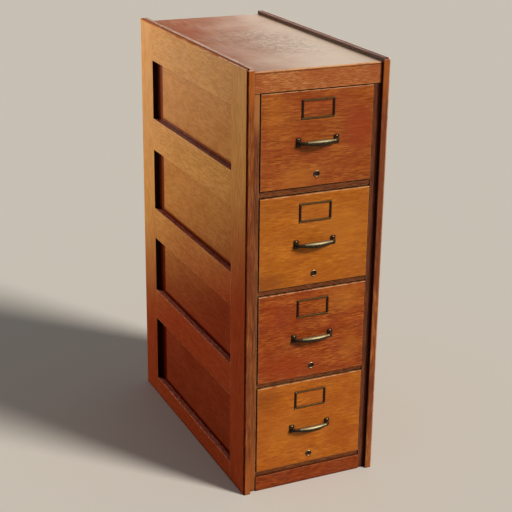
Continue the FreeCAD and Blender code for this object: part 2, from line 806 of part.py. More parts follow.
def drawer_back_and_bottom(limits):
    half = f"({box_inside} + dims.box_dado_depth)"
    plain = board(f"{limits.name}_back_board", (f"-{half}", half),
                  (box_back_front, box_back_rear), (limits.bottom[1], limits.side[1]))
    hole = pin(f"{limits.name}_back_hole", "y", ("0", box_back_front, limits.rod),
               "dims.box_back_thickness", rod_bore)
    keep(cut(f"{limits.name}_back_drilled", plain, [hole]), f"{limits.name}_back")
    half = f"({box_inside} + dims.bottom_groove_depth - dims.bottom_play)"
    start = f"({front_back} - dims.bottom_groove_depth + dims.bottom_play)"
    keep(board(f"{limits.name}_bottom_board", (f"-{half}", half), (start, box_back_rear),
               limits.bottom), f"{limits.name}_bottom")


def extension_bars(limits):
    """Two hardwood bars, half in the runners and half in the drawer sides."""
    members = []
    start = f"({box_half} - dims.bar_bite)"
    end = f"({runner_face} + dims.bar_bite)"
    for name, hand in (("left", -1), ("right", 1)):
        members.append(board(f"{limits.name}_{name}_bar", (f"{hand} * {start}", f"{hand} * {end}"),
                             (bar_front, bar_rear),
                             grown((limits.slide, limits.slide), "dims.bar_height / 2")))
    keep(group(f"{limits.name}_extension_bars", members), f"{limits.name}_extension_bars")


# Follower block: an upright board on a foot that slides along the guide rod

def follower(limits):
    foot_low = f"({limits.bottom[1]} + dims.follower_play)"
    foot_top = f"({foot_low} + dims.follower_foot_height)"
    foot_rear = f"({box_back_front} - dims.follower_rear_gap)"
    foot_front = f"({foot_rear} - dims.follower_foot_length)"
    plate_front = f"({foot_front} - dims.follower_thickness)"
    name = limits.name
    bore = pin(f"{name}_follower_bore", "y", ("0", plate_front, limits.rod),
               f"({foot_rear}) - ({plate_front})", rod_bore)
    foot = board(f"{name}_follower_foot",
                 ("-dims.follower_foot_width / 2", "dims.follower_foot_width / 2"),
                 (foot_front, foot_rear), (foot_low, foot_top))
    plate_half = f"({box_inside} - dims.follower_side_gap)"
    plate = board(f"{name}_follower_plate", (f"-{plate_half}", plate_half),
                  (plate_front, foot_front),
                  (foot_low, f"({limits.side[1]} - dims.follower_top_gap)"))
    brace = doc.addObject("PartDesign::Body", f"{name}_follower_brace")
    corner = [
        (foot_front, foot_top),
        (f"({foot_front} + dims.follower_brace_length)", foot_top),
        (foot_front, f"({foot_top} + dims.follower_brace_height)"),
    ]
    add(brace, "YZ_Plane", "-dims.follower_brace_thickness / 2",
        "dims.follower_brace_thickness / 2", [corner])
    members = [cut(f"{name}_follower_plate_bored", plate, [bore]),
               cut(f"{name}_follower_foot_bored", foot, [bore]), brace]
    keep(group(f"{name}_follower_block", members), f"{name}_follower")


# Guide rod and its ferrule, both turned

def guide_rod(limits):
    head_front = f"({face} + dims.rod_head_sink)"
    head_back = f"({head_front} + dims.rod_head_length)"
    rod_end = f"({box_back_rear} + dims.rod_tail)"
    profile = [
        (head_front, "0"),
        (head_front, "dims.rod_head_diameter / 2"),
        (head_back, "dims.rod_head_diameter / 2"),
        (head_back, "dims.rod_diameter / 2"),
        (rod_end, "dims.rod_diameter / 2"),
        (rod_end, "0"),
    ]
    rod = turned(f"{limits.name}_guide_rod", "0", limits.rod, profile)
    half_slot = "(dims.rod_slot_width / 2)"
    slot = rectangle(("-dims.rod_head_diameter", "dims.rod_head_diameter"),
                     (f"({limits.rod} - {half_slot})", f"({limits.rod} + {half_slot})"))
    take(rod, "XZ_Plane", head_front, f"({head_front} + dims.rod_slot_depth)", [slot])
    keep(rod, f"{limits.name}_guide_rod")


def ferrule(limits):
    flange_front = f"({face} - dims.ferrule_flange_thickness)"
    profile = [
        (flange_front, f"{ferrule_bore} / 2"),
        (flange_front, f"{ferrule_flange} / 2"),
        (face, f"{ferrule_flange} / 2"),
        (face, f"{ferrule_tube} / 2"),
        (front_back, f"{ferrule_tube} / 2"),
        (front_back, f"{rod_bore} / 2"),
        (ferrule_step, f"{rod_bore} / 2"),
        (ferrule_step, f"{ferrule_bore} / 2"),
    ]
    return turned(f"{limits.name}_ferrule", "0", limits.rod, profile)


# Fittings of a drawer front: the ferrule, the pull's screws and the label holder's pins

def small_screw(name, place, head_back, length, sizes):
    """A screw or pin with a domed head, driven along Y from the head's back face."""
    diameter, head_diameter, head_height = sizes
    shank = pin(f"{name}_shank", "y", (place[0], head_back, place[1]), length, diameter)
    head_front = f"({head_back} - {head_height})"
    cap = pin(f"{name}_cap", "y", (place[0], head_front, place[1]), head_height,
              f"{head_diameter} / 2", head_diameter)
    return joined(name, [shank, cap])


def fittings(limits):
    members = [ferrule(limits)]
    plate_front = f"({face} - dims.pull_plate_thickness)"
    length = "(dims.pull_screw_length + dims.pull_plate_thickness)"
    sizes = ("dims.pull_screw_diameter", "dims.pull_screw_head_diameter",
             "dims.pull_screw_head_height")
    for number, place in enumerate(limits.pull_screws(), start=1):
        own = f"{limits.name}_pull_screw_{number}"
        members.append(small_screw(own, place, plate_front, length, sizes))
    frame_front = f"({face} - dims.label_thickness)"
    length = "(dims.pin_length + dims.label_thickness)"
    sizes = ("dims.pin_diameter", "dims.pin_head_diameter", "dims.pin_head_height")
    for number, place in enumerate(limits.label_pins(), start=1):
        own = f"{limits.name}_label_pin_{number}"
        members.append(small_screw(own, place, frame_front, length, sizes))
    keep(group(f"{limits.name}_fittings", members), f"{limits.name}_fittings")


def label_holder(limits):
    """A flat frame with a slot behind it for a card, open at the top."""
    body = doc.addObject("PartDesign::Body", f"{limits.name}_label_holder")
    front = f"({face} - dims.label_thickness)"
    width = ("-dims.label_width / 2", "dims.label_width / 2")
    height = grown((limits.label, limits.label), "dims.label_height / 2")
    window = rectangle(grown(width, "-dims.label_bar"), grown(height, "-dims.label_bar"))
    add(body, "XZ_Plane", face, front, [rectangle(width, height), window])
    slot_margin = "(dims.label_bar - dims.card_lip)"
    slot_width = grown(width, f"-{slot_margin}")
    slot_height = (f"({height[0]} + {slot_margin})", height[1])
    take(body, "XZ_Plane", face, f"({face} - dims.card_slot_depth)",
         [rectangle(slot_width, slot_height)])
    take(body, "XZ_Plane", front, face,
         circles=[(place, "dims.pin_diameter") for place in limits.label_pins()])
    keep(body, f"{limits.name}_label_holder")


# Cast pull: two end plates, a quarter round neck on each and a swelling bowed grip

def section(name, x, reach, diameter, height):
    """A round section of the grip, square to X."""
    circle = doc.addObject("Part::Circle", name)
    circle.Placement = FreeCAD.Placement(Vector(), AXIS_TURN["x"])
    circle.setExpression("Radius", f"({diameter}) / 2")
    circle.setExpression("Placement.Base.x", x)
    circle.setExpression("Placement.Base.y", f"({face} - ({reach}))")
    circle.setExpression("Placement.Base.z", height)
    return circle


def pull(limits):
    name = f"{limits.name}_pull"
    plate_front = f"({face} - dims.pull_plate_thickness)"
    plate_centre = "(dims.pull_plate_spacing / 2)"
    neck_centre = f"({plate_centre} - dims.pull_neck_radius)"
    end_reach = "(dims.pull_plate_thickness + dims.pull_neck_radius)"
    middle_reach = "(dims.pull_reach - dims.pull_middle_diameter / 2)"

    def bowed(place):
        """How far the grip's middle line stands out, falling off with the square of the place."""
        return f"({middle_reach} - ({middle_reach} - {end_reach}) * ({place} / {neck_centre})^2)"

    members = []
    for side, hand in (("left", -1), ("right", 1)):
        body = doc.addObject("PartDesign::Body", f"{name}_{side}_plate")
        centre = f"({hand} * {plate_centre})"
        width = grown((centre, centre), "dims.pull_plate_width / 2")
        height = grown((limits.pull, limits.pull), "dims.pull_plate_height / 2")
        add(body, "XZ_Plane", face, plate_front, [rectangle(width, height)],
            circles=[(place, "dims.pull_screw_diameter") for place in limits.pull_screws()
                     if value(place[0]) * hand > 0])
        neck = doc.addObject("Part::Torus", f"{name}_{side}_neck")
        neck.setExpression("Radius1", "dims.pull_neck_radius")
        neck.setExpression("Radius2", "dims.pull_neck_diameter / 2")
        neck.Angle3 = 90
        start = -90 if hand > 0 else 180
        neck.Placement = FreeCAD.Placement(Vector(), FreeCAD.Rotation(Vector(0, 0, 1), start))
        neck.setExpression("Placement.Base.x", f"{hand} * {neck_centre}")
        neck.setExpression("Placement.Base.y", plate_front)
        neck.setExpression("Placement.Base.z", limits.pull)
        members += [body, neck]
    half_rings = [
        (neck_centre, "dims.pull_neck_diameter"),
        ("dims.pull_swell_place", "dims.pull_swell_diameter"),
        ("dims.pull_shoulder_place", "dims.pull_shoulder_diameter"),
    ]
    rings = [(f"(-{place})", diameter) for place, diameter in half_rings]
    rings.append(("0", "dims.pull_middle_diameter"))
    rings += reversed(half_rings)
    sections = [section(f"{name}_section_{number}", place, bowed(place), diameter, limits.pull)
                for number, (place, diameter) in enumerate(rings, start=1)]
    grip = doc.addObject("Part::Loft", f"{name}_grip")
    grip.Sections = sections
    grip.Solid = True
    grip.Ruled = False
    members.append(grip)
    keep(joined(f"{name}_cast", members), name)


# Everything in the order in which it goes together

def build():
    for name, hand in (("left", -1), ("right", 1)):
        side_frame(name, hand)
    face_frame()
    back()
    for name, hand in (("left", -1), ("right", 1)):
        runners(name, hand)
    case_screws()
    for number in range(1, DRAWER_COUNT + 1):
        limits = DrawerLimits(number)
        drawer_front(limits)
        drawer_sides(limits)
        drawer_back_and_bottom(limits)
        extension_bars(limits)
        guide_rod(limits)
        follower(limits)
        pull(limits)
        label_holder(limits)
        fittings(limits)
    doc.recompute()


def check():
    """Stop if any object failed, any pocket cut nothing or any piece isn't sound."""
    for item in doc.Objects:
        if "Invalid" in item.State or "Error" in item.State:
            raise RuntimeError(f"{item.Name} failed: {item.State}")
        if item.TypeId == "PartDesign::Pocket":
            before = item.BaseFeature.Shape.Volume
            if before - item.Shape.Volume < 1e-3:
                raise RuntimeError(f"{item.Name} cuts nothing")
    for piece in pieces:
        if piece.Shape.isNull() or not piece.Shape.isValid():
            raise RuntimeError(f"{piece.Label} isn't a sound solid")


def write():
    os.makedirs("parts", exist_ok=True)
    for piece in pieces:
        piece.Shape.exportStep(f"parts/{piece.Label}.step")
        print(f"{piece.Label}: {len(piece.Shape.Solids)} solids")


build()
check()
write()
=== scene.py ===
import math

import bmesh
import bpy
from mathutils import Matrix, Vector


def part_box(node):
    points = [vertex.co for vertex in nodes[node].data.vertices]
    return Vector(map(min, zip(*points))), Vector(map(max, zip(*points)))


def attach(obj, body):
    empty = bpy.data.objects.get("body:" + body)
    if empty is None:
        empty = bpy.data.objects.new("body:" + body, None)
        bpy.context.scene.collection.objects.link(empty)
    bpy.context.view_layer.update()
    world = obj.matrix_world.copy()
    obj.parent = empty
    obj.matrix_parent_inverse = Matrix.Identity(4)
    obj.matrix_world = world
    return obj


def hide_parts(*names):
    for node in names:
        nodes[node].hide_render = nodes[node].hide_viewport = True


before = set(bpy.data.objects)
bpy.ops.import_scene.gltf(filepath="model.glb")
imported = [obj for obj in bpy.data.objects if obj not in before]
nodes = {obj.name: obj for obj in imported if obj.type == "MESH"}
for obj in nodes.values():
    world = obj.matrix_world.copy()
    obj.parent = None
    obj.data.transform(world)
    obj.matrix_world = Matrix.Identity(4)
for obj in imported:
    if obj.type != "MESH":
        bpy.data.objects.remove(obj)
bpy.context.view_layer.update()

MM = 0.001


# Side stiles: four upright boards of varnished hardwood as tall as the case, rounded in front and
# along the top beside a dark quirk. A sheen of light from behind is painted into the upper outer
# faces, which grow darker towards the floor, and the corner in front and the edges in the openings
# are painted dark as shade.

STILE_EASE = 0.7 * MM
BOARD_EASE = 0.8 * MM
NARROW_FACE = 0.8 * MM
SHARP_TURN = math.radians(60)
SAME_POINT = 0.02 * MM
HAIR = 0.1 * MM
SIDE_START = 0.05
# The tan of the frame, darkened by the foot tints towards the floor, is a painted sheen of light
# from behind.
FRAME_STAIN = {"dark": (162, 114, 64), "middle": (171, 123, 70), "light": (180, 132, 79)}
FRAME_FOOT = (0.54, 0.18, 0.19, 1)
RIGHT_FOOT = (0.66, 0.42, 0.34, 1)
SHEEN_LOW, SHEEN_HIGH = 0.40, 0.92
SHEEN_SLANT, SHEEN_UNEVENNESS = 0.45, 0.16
VARNISH_LOW, VARNISH_HIGH = 0.80, 1.35
LIP_STAIN = {"dark": (108, 54, 24), "middle": (132, 73, 36), "light": (156, 96, 54)}
LIP_PATCH = (98, 48, 32)
# Painted shade on the left side's rounded front corner.
CORNER_SHADE = {"dark": (52, 14, 4), "middle": (66, 20, 6), "light": (92, 38, 14)}
# Painted sheen on the left side's top and a painted highlight on the right side's front corner.
BEAD_SHEEN = {"dark": (140, 92, 70), "middle": (164, 114, 90), "light": (188, 142, 116)}
# Painted highlight along the right side's top bead.
CREAM_HIGHLIGHT = {"dark": (214, 184, 168), "middle": (232, 208, 194), "light": (244, 226, 214)}
# Dark ledges in the openings, and painted shade on the right side's inner top.
LEDGE_DARK = {"dark": (74, 28, 22), "middle": (92, 40, 34), "light": (120, 64, 56)}
# Painted shade, near-black, in the reveals and the quirk.
REVEAL_SHADE = {"dark": (24, 5, 3), "middle": (34, 9, 6), "light": (50, 18, 14)}
INSIDE_STAIN = {"dark": (104, 66, 36), "middle": (128, 86, 50), "light": (148, 106, 66)}
# Painted shade on the inner faces where the sides stand proud.
INSIDE_SHADE = (0.16, 0.06, 0.05, 1)
WORN_WOOD = (222, 178, 128)
# Grime and painted shade that darken corners, and the fine dark line under the broad rail's arris.
GRIME_AND_SHADE = (36, 12, 4)
LIP_DEPTH = 5.6 * MM
BEAD_WIDTH = 6.5 * MM
QUIRK_WIDTH = 2.5 * MM
QUIRK_MARGIN, QUIRK_RIM = 0.5 * MM, 0.9 * MM
RIM_SHADE_FRONT, RIM_SHADE_TOP = (46 * MM, 34 * MM), (-4 * MM, -1 * MM)
LIP_FOOT_END, LIP_TOP_END = (0.16, 0.06), (-0.16, -0.06)
ORANGE = (168, 94, 38)
EDGE_REACH = 0.003
ARRIS_TURN, CORNER_LIGHT, OPEN_LIGHT = (0.99, 0.88), (0.86, 0.40), (0.55, 0.85)
FLECK_SCALE = 420.0
GRAIN_WARP = (0, 0.005, 0.005)
DASH_SHARE, FIBRE_SHARE, BAND_SHARE = 0.62, 0.20, 0.18
PORE_SIZE = (0.013, 0.0017, 0.0017)
PORE_STRENGTH, PORE_TONE = 0.25, 0.6
TONE_LIMITS, PORE_LIMITS, PATCH_LIMITS = (0.39, 0.61), (0.58, 0.72), (0.40, 0.60)
CLOUD_LIMITS = (0.35, 0.65)
ROUGHNESS_SWAY = 0.06


def stain(red, green, blue):
    """A colour as it is seen, 0 to 255, as the linear value that a shader takes."""

    def linear(level):
        share = level / 255
        return share / 12.92 if share <= 0.04045 else ((share + 0.055) / 1.055) ** 2.4

    return (linear(red), linear(green), linear(blue), 1.0)


def place_node(tree, kind, inputs=(), **settings):
    """A node with its settings made and each input given a value or a link."""
    made = tree.nodes.new(kind)
    for setting, choice in settings.items():
        setattr(made, setting, choice)
    for socket, value in dict(inputs).items():
        if isinstance(value, bpy.types.NodeSocket):
            tree.links.new(value, made.inputs[socket])
        else:
            made.inputs[socket].default_value = value
    return made


FLOAT, VECTOR = "NodeSocketFloat", "NodeSocketVector"


def effect_group(name, inputs, outputs):
    """An empty shader group with named inputs and outputs, and its two end nodes."""
    group = bpy.data.node_groups.new(name, "ShaderNodeTree")
    for socket, (kind, start) in inputs.items():
        made = group.interface.new_socket(socket, in_out="INPUT", socket_type=kind)
        if start is not None:
            made.default_value = start
    for socket in outputs:
        group.interface.new_socket(socket, in_out="OUTPUT", socket_type=FLOAT)
    return group, group.nodes.new("NodeGroupInput"), group.nodes.new("NodeGroupOutput")


def finish_group(group, end, values):
    """Link what a group puts out to its end node."""
    for socket, value in values.items():
        group.links.new(value, end.inputs[socket])
    return group


def math_node(tree, operation, first, second=0.0, clamp=False):
    return place_node(tree, "ShaderNodeMath", {0: first, 1: second}, operation=operation,
                      use_clamp=clamp).outputs[0]


def times(tree, first, second):
    return math_node(tree, "MULTIPLY", first, second)


def vector_node(tree, operation, first, second):
    return place_node(tree, "ShaderNodeVectorMath", {0: first, 1: second},
                      operation=operation).outputs[0]


def spread(tree, value, low, high, to_low=0.0, to_high=1.0):
    """The stretch of a value between two limits, widened softly to another."""
    return place_node(tree, "ShaderNodeMapRange", {
        "Value": value, "From Min": low, "From Max": high, "To Min": to_low, "To Max": to_high,
    }, interpolation_type="SMOOTHSTEP").outputs["Result"]


def near(tree, value, line, start, full, strength=1.0):
    """A share that begins at one distance past a line and is full at another."""
    return spread(tree, value, line + start, line + full, 0.0, strength)


def blend(tree, share, under, over, mode="MIX"):
    """One colour laid over another by a share, or multiplied by it in part."""
    made = place_node(tree, "ShaderNodeMix", data_type="RGBA", blend_type=mode)
    for socket, value in (("Factor_Float", share), ("A_Color", under), ("B_Color", over)):
        target = next(item for item in made.inputs if item.identifier == socket)
        if isinstance(value, bpy.types.NodeSocket):
            tree.links.new(value, target)
        else:
            target.default_value = value
    return next(item for item in made.outputs if item.identifier == "Result_Color")


def noise(tree, place, scale=1.0, detail=2.0, roughness=0.5):
    made = place_node(tree, "ShaderNodeTexNoise", {
        "Vector": place, "Scale": scale, "Detail": detail, "Roughness": roughness})
    return made.outputs["Fac"]


def split(tree, place):
    """The three parts of a place, to be taken by name."""
    return place_node(tree, "ShaderNodeSeparateXYZ", {0: place}).outputs


def make_grain_group():
    """Short dashes, broad bands, pores and patches of wood whose grain runs along X."""
    group, start, end = effect_group("wood grain", {
        "Place": (VECTOR, None), "Dash Length": (FLOAT, 0.03), "Dash Width": (FLOAT, 0.0022),
        "Patch Size": (FLOAT, 0.12),
    }, ("Tone", "Pores", "Patches", "Clouds"))
    place = start.outputs["Place"]
    drift = place_node(group, "ShaderNodeTexNoise", {"Vector": place, "Scale": 3.0, "Detail": 1.0})
    push = vector_node(group, "SUBTRACT", drift.outputs["Color"], (0.5, 0.5, 0.5))
    bent = vector_node(group, "ADD", place, vector_node(group, "MULTIPLY", push, GRAIN_WARP))
    size = place_node(group, "ShaderNodeCombineXYZ", {
        "X": start.outputs["Dash Length"], "Y": start.outputs["Dash Width"],
        "Z": start.outputs["Dash Width"]}).outputs[0]
    dash_place = vector_node(group, "DIVIDE", bent, size)
    dashes = noise(group, dash_place, 1.0, 2.0, 0.6)
    fibres = noise(group, vector_node(group, "MULTIPLY", dash_place, (1.6, 2.6, 2.6)), 1.0, 1.0)
    bands = noise(group, vector_node(group, "MULTIPLY", dash_place, (0.16, 0.12, 0.12)), 1.0, 2.0)
    whole = math_node(group, "ADD", times(group, dashes, DASH_SHARE),
                      times(group, fibres, FIBRE_SHARE))
    whole = math_node(group, "ADD", whole, times(group, bands, BAND_SHARE))
    tone = spread(group, whole, *TONE_LIMITS)
    pore_place = vector_node(group, "DIVIDE", bent, PORE_SIZE)
    pores = spread(group, noise(group, pore_place, 1.0, 1.0), *PORE_LIMITS)
    patch_place = vector_node(group, "MULTIPLY", place, (0.55, 1.0, 1.0))
    patch_place = vector_node(group, "DIVIDE", patch_place, start.outputs["Patch Size"])
    patches = spread(group, noise(group, patch_place, 1.0, 4.0, 0.65), *PATCH_LIMITS)
    clouds = noise(group, place, 14.0, 3.0, 0.55)
    return finish_group(group, end, {"Tone": tone, "Pores": pores, "Patches": patches,
                                     "Clouds": clouds})


def make_edge_group():
    """Where an arris is rubbed light, and where a corner is darkened, as grime and painted shade.
    """
    group, start, end = effect_group("rubbed edges", {
        "Place": (VECTOR, None), "Corner Reach": (FLOAT, 0.014),
    }, ("Rubbed", "Dirt And Shade"))
    rounded = place_node(group, "ShaderNodeBevel", {"Radius": EDGE_REACH}, samples=6)
    straight = place_node(group, "ShaderNodeNewGeometry")
    facing = place_node(group, "ShaderNodeVectorMath", {
        0: rounded.outputs[0], 1: straight.outputs["Normal"]}, operation="DOT_PRODUCT")
    turned = spread(group, facing.outputs["Value"], *ARRIS_TURN)
    open_sky = place_node(group, "ShaderNodeAmbientOcclusion", {
        "Distance": start.outputs["Corner Reach"]}, samples=6).outputs["AO"]
    dirt_and_shade = spread(group, open_sky, *CORNER_LIGHT)
    clear = spread(group, open_sky, *OPEN_LIGHT)
    patchy = spread(group, noise(group, start.outputs["Place"], 45.0, 3.0, 0.6), 0.32, 0.56)
    rubbed = times(group, times(group, turned, clear), patchy)
    return finish_group(group, end, {"Rubbed": rubbed, "Dirt And Shade": dirt_and_shade})


GRAIN = make_grain_group()
EDGES = make_edge_group()
ALONG = {"X": (0, 0, 0), "Y": (0, 0, -math.pi / 2), "Z": (0, math.pi / 2, 0)}


def new_material(name):
    """A material with its tree, its shader and the places that it reads on a piece."""
    material = bpy.data.materials.new(name)
    material.use_nodes = True
    tree = material.node_tree
    place = place_node(tree, "ShaderNodeTexCoord").outputs["Object"]
    return material, tree, tree.nodes["Principled BSDF"], place


def varnished_wood(name, grain, colours, offset, dash=(0.024, 0.0024), patch=None,
                   patch_size=0.12, rubbed=0.6, dirt_and_shade=0.85, corner=0.014, coat=(0.1, 0.3),
                   coat_roughness=0.3, roughness=0.55, sheen=0.05, layers=(), coat_share=None):
    """Wood under old varnish: a stained tone that follows the grain, darker pores, patches of
    another stain, grime and painted shade in the corners, rubbed arrises and a coat that is patchy
    with wear.
    Each layer is a function that lays its own colour over the stain."""
    material, tree, shader, place = new_material(name)
    turned = place_node(tree, "ShaderNodeMapping", {
        "Vector": place, "Rotation": ALONG[grain],
        "Location": (offset, offset * 0.7, offset * 0.3)}).outputs[0]
    wood = place_node(tree, "ShaderNodeGroup", {
        "Place": turned, "Dash Length": dash[0], "Dash Width": dash[1], "Patch Size": patch_size,
    }, node_tree=GRAIN)
    edges = place_node(tree, "ShaderNodeGroup", {"Place": turned, "Corner Reach": corner},
                       node_tree=EDGES)
    tone = wood.outputs["Tone"]
    body = blend(tree, spread(tree, tone, 0.0, 0.5), stain(*colours["dark"]),
                 stain(*colours["middle"]))
    body = blend(tree, spread(tree, tone, 0.5, 1.0), body, stain(*colours["light"]))
    if patch is not None:
        body = blend(tree, times(tree, wood.outputs["Patches"], patch[1]), body, stain(*patch[0]))
    body = blend(tree, times(tree, wood.outputs["Pores"], PORE_STRENGTH), body,
                 stain(*(level * PORE_TONE for level in colours["dark"])))
    for layer in layers:
        body = layer(tree, place, body)
    body = blend(tree, times(tree, edges.outputs["Rubbed"], rubbed), body, stain(*WORN_WOOD))
    body = blend(tree, times(tree, edges.outputs["Dirt And Shade"], dirt_and_shade), body, stain(*GRIME_AND_SHADE))
    tree.links.new(body, shader.inputs["Base Color"])
    dull = spread(tree, wood.outputs["Clouds"], *CLOUD_LIMITS, roughness - ROUGHNESS_SWAY,
                  roughness + ROUGHNESS_SWAY)
    tree.links.new(dull, shader.inputs["Roughness"])
    shine = spread(tree, wood.outputs["Clouds"], *CLOUD_LIMITS, *coat)
    if coat_share is not None:
        shine = times(tree, shine, coat_share(tree, place))
    tree.links.new(shine, shader.inputs["Coat Weight"])
    shader.inputs["Specular IOR Level"].default_value = sheen
    shader.inputs["Coat Roughness"].default_value = coat_roughness
    shader.inputs["Coat IOR"].default_value = 1.45
    height = math_node(tree, "SUBTRACT", times(tree, tone, 0.3),
                       times(tree, wood.outputs["Pores"], 0.7))
    bump = place_node(tree, "ShaderNodeBump", {
        "Height": height, "Strength": 0.25, "Distance": 0.0002})
    tree.links.new(bump.outputs["Normal"], shader.inputs["Normal"])
    return material


def slanted_height(tree, place):
    """Height on a side, counted lower towards the front, with a little unevenness."""
    parts = split(tree, place)
    slanted = math_node(tree, "ADD", parts["Z"], times(tree, parts["Y"], SHEEN_SLANT))
    uneven = math_node(tree, "SUBTRACT", noise(tree, place, 4.0, 3.0, 0.6), 0.5)
    return math_node(tree, "ADD", slanted, times(tree, uneven, SHEEN_UNEVENNESS))


def painted_sheen_share(tree, place):
    """How far a place on a side takes the painted sheen: fully near the top, and lower down at the
    back.
    """
    return spread(tree, slanted_height(tree, place), SHEEN_LOW, SHEEN_HIGH)


def kept_varnish(tree, place):
    """The sides' varnish still shines near the top and has gone below."""
    return spread(tree, slanted_height(tree, place), VARNISH_LOW, VARNISH_HIGH)


def painted_sheen_above(foot):
    """A layer of painted sheen: it leaves a board as it is at the top and darkens it towards the
    floor.
    """

    def layer(tree, place, under):
        hand = spread(tree, split(tree, place)["X"], -SIDE_START, SIDE_START)
        low_tint = blend(tree, hand, foot, RIGHT_FOOT)
        tint = blend(tree, painted_sheen_share(tree, place), low_tint, (1, 1, 1, 1))
        return blend(tree, 1.0, under, tint, "MULTIPLY")

    return layer


def specked(strength, colour):
    """A layer of tiny flecks in loose clusters."""

    def layer(tree, place, under):
        flecks = spread(tree, noise(tree, place, FLECK_SCALE, 1.0), 0.62, 0.72)
        clusters = spread(tree, noise(tree, place, 11.0, 2.0), 0.42, 0.62)
        share = times(tree, times(tree, flecks, clusters), strength)
        return blend(tree, share, under, stain(*colour))

    return layer


def paint(piece, *materials):
    """Give a piece its materials in order, in the slots that it has or in new ones."""
    for index, material in enumerate(materials):
        if index < len(piece.material_slots):
            piece.material_slots[index].material = material
        else:
            piece.data.materials.append(material)


def new_piece(name, work, materials):
    """A piece in the scene from finished mesh work."""
    mesh = bpy.data.meshes.new(name)
    work.to_mesh(mesh)
    work.free()
    piece = bpy.data.objects.new(name, mesh)
    bpy.context.scene.collection.objects.link(piece)
    paint(piece, *materials)
    return piece


def finish_piece(name, work, materials, body, replaced):
    """A new piece that rides on its body and stands for its node."""
    piece = new_piece(name, work, materials)
    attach(piece, body)
    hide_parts(replaced)


def eased_board(node, body, materials, ease=BOARD_EASE, shortest=15 * MM, choose=None):
    """A copy of a board whose long square arrises are eased. It stands for the node. The choice
    gives the number of the material that a face takes."""
    work = bmesh.new()
    work.from_mesh(nodes[node].data)
    bmesh.ops.remove_doubles(work, verts=work.verts, dist=SAME_POINT)
    bmesh.ops.dissolve_limit(work, angle_limit=math.radians(0.5), verts=work.verts,
                             edges=work.edges)
    for face in work.faces:
        face.smooth = 2 * face.calc_area() / face.calc_perimeter() < NARROW_FACE
    arrises = [edge for edge in work.edges
               if edge.is_manifold and edge.is_convex and edge.calc_length() > shortest
               and edge.calc_face_angle() > SHARP_TURN]
    rounded = bmesh.ops.bevel(work, geom=arrises, offset=ease, segments=3, profile=0.5,
                              affect="EDGES", clamp_overlap=False, material=-1)
    for face in rounded["faces"]:
        face.smooth = True
    work.normal_update()
    for face in work.faces:
        face.material_index = choose(face) if choose is not None else 0
    finish_piece(node + "_eased", work, materials, body, node)


LIP_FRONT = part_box("left_front_stile")[0][1]
SIDE_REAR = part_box("left_rear_stile")[1][1]
CASE_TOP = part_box("left_front_stile")[1][2]
BOARD_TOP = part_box("top_board")[1][2]
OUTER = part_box("right_front_stile")[1][0]
OUTSIDE, LIP, REVEAL, LEDGE, BEAD, INSIDE, CORNER, CREAM = range(8)


def side_face_finish(face):
    """Which of the eight finishes a face of a side board takes, by its place and direction."""
    centre = face.calc_center_median()
    hand = 1 if centre.x > 0 else -1
    outward = face.normal.x * hand
    depth = OUTER - abs(centre.x)
    if outward < -0.8:
        return INSIDE
    if centre.z > CASE_TOP - LIP_DEPTH and face.normal.z > -0.1:
        # The quirk is painted near-black as shade.
        in_quirk = BEAD_WIDTH - QUIRK_MARGIN < depth < BEAD_WIDTH + QUIRK_WIDTH + QUIRK_RIM
        if in_quirk and (centre.z < CASE_TOP - HAIR or face.normal.z < 0.99):
            return REVEAL
        # On the top, the left inner flat takes a painted sheen, the right one painted shade, and
        # the right bead a painted highlight.
        if depth > BEAD_WIDTH:
            return LEDGE if hand > 0 else BEAD
        if hand > 0:
            return CREAM
        return LIP if outward > 0.2 else REVEAL
    # The rounded front corner is painted dark as shade on the left, and light as a highlight on
    # the right.
    if centre.y < LIP_FRONT + LIP_DEPTH:
        rounded_corner = outward > 0.05 and face.normal.y < -0.05
        if rounded_corner:
            return CORNER if hand < 0 else BEAD
        return LIP
    if outward > 0.3 or centre.y > SIDE_REAR - 2 * MM:
        return OUTSIDE
    # Ledges in the openings are dark, and the reveals are painted near-black as shade.
    return LEDGE if face.normal.z > 0.5 else REVEAL


def shaded_rims(tree, place, under):
    """The inner face of a side is painted dark as shade where it stands proud of the face frame
    and the top.
    """
    parts = split(tree, place)
    share = math_node(tree, "MAXIMUM", near(tree, parts["Y"], LIP_FRONT, *RIM_SHADE_FRONT),
                      near(tree, parts["Z"], BOARD_TOP, *RIM_SHADE_TOP))
    return blend(tree, 1.0, under, blend(tree, share, (1, 1, 1, 1), INSIDE_SHADE), "MULTIPLY")


def orange_ends(tree, place, under):
    """The lips are lighter for a hand's width below the top, and the left one at its foot."""
    parts = split(tree, place)
    foot = times(tree, near(tree, parts["Z"], 0.0, *LIP_FOOT_END),
                 spread(tree, parts["X"], SIDE_START, -SIDE_START))
    share = math_node(tree, "MAXIMUM", foot, near(tree, parts["Z"], CASE_TOP, *LIP_TOP_END))
    return blend(tree, times(tree, share, 0.5), under, stain(*ORANGE))


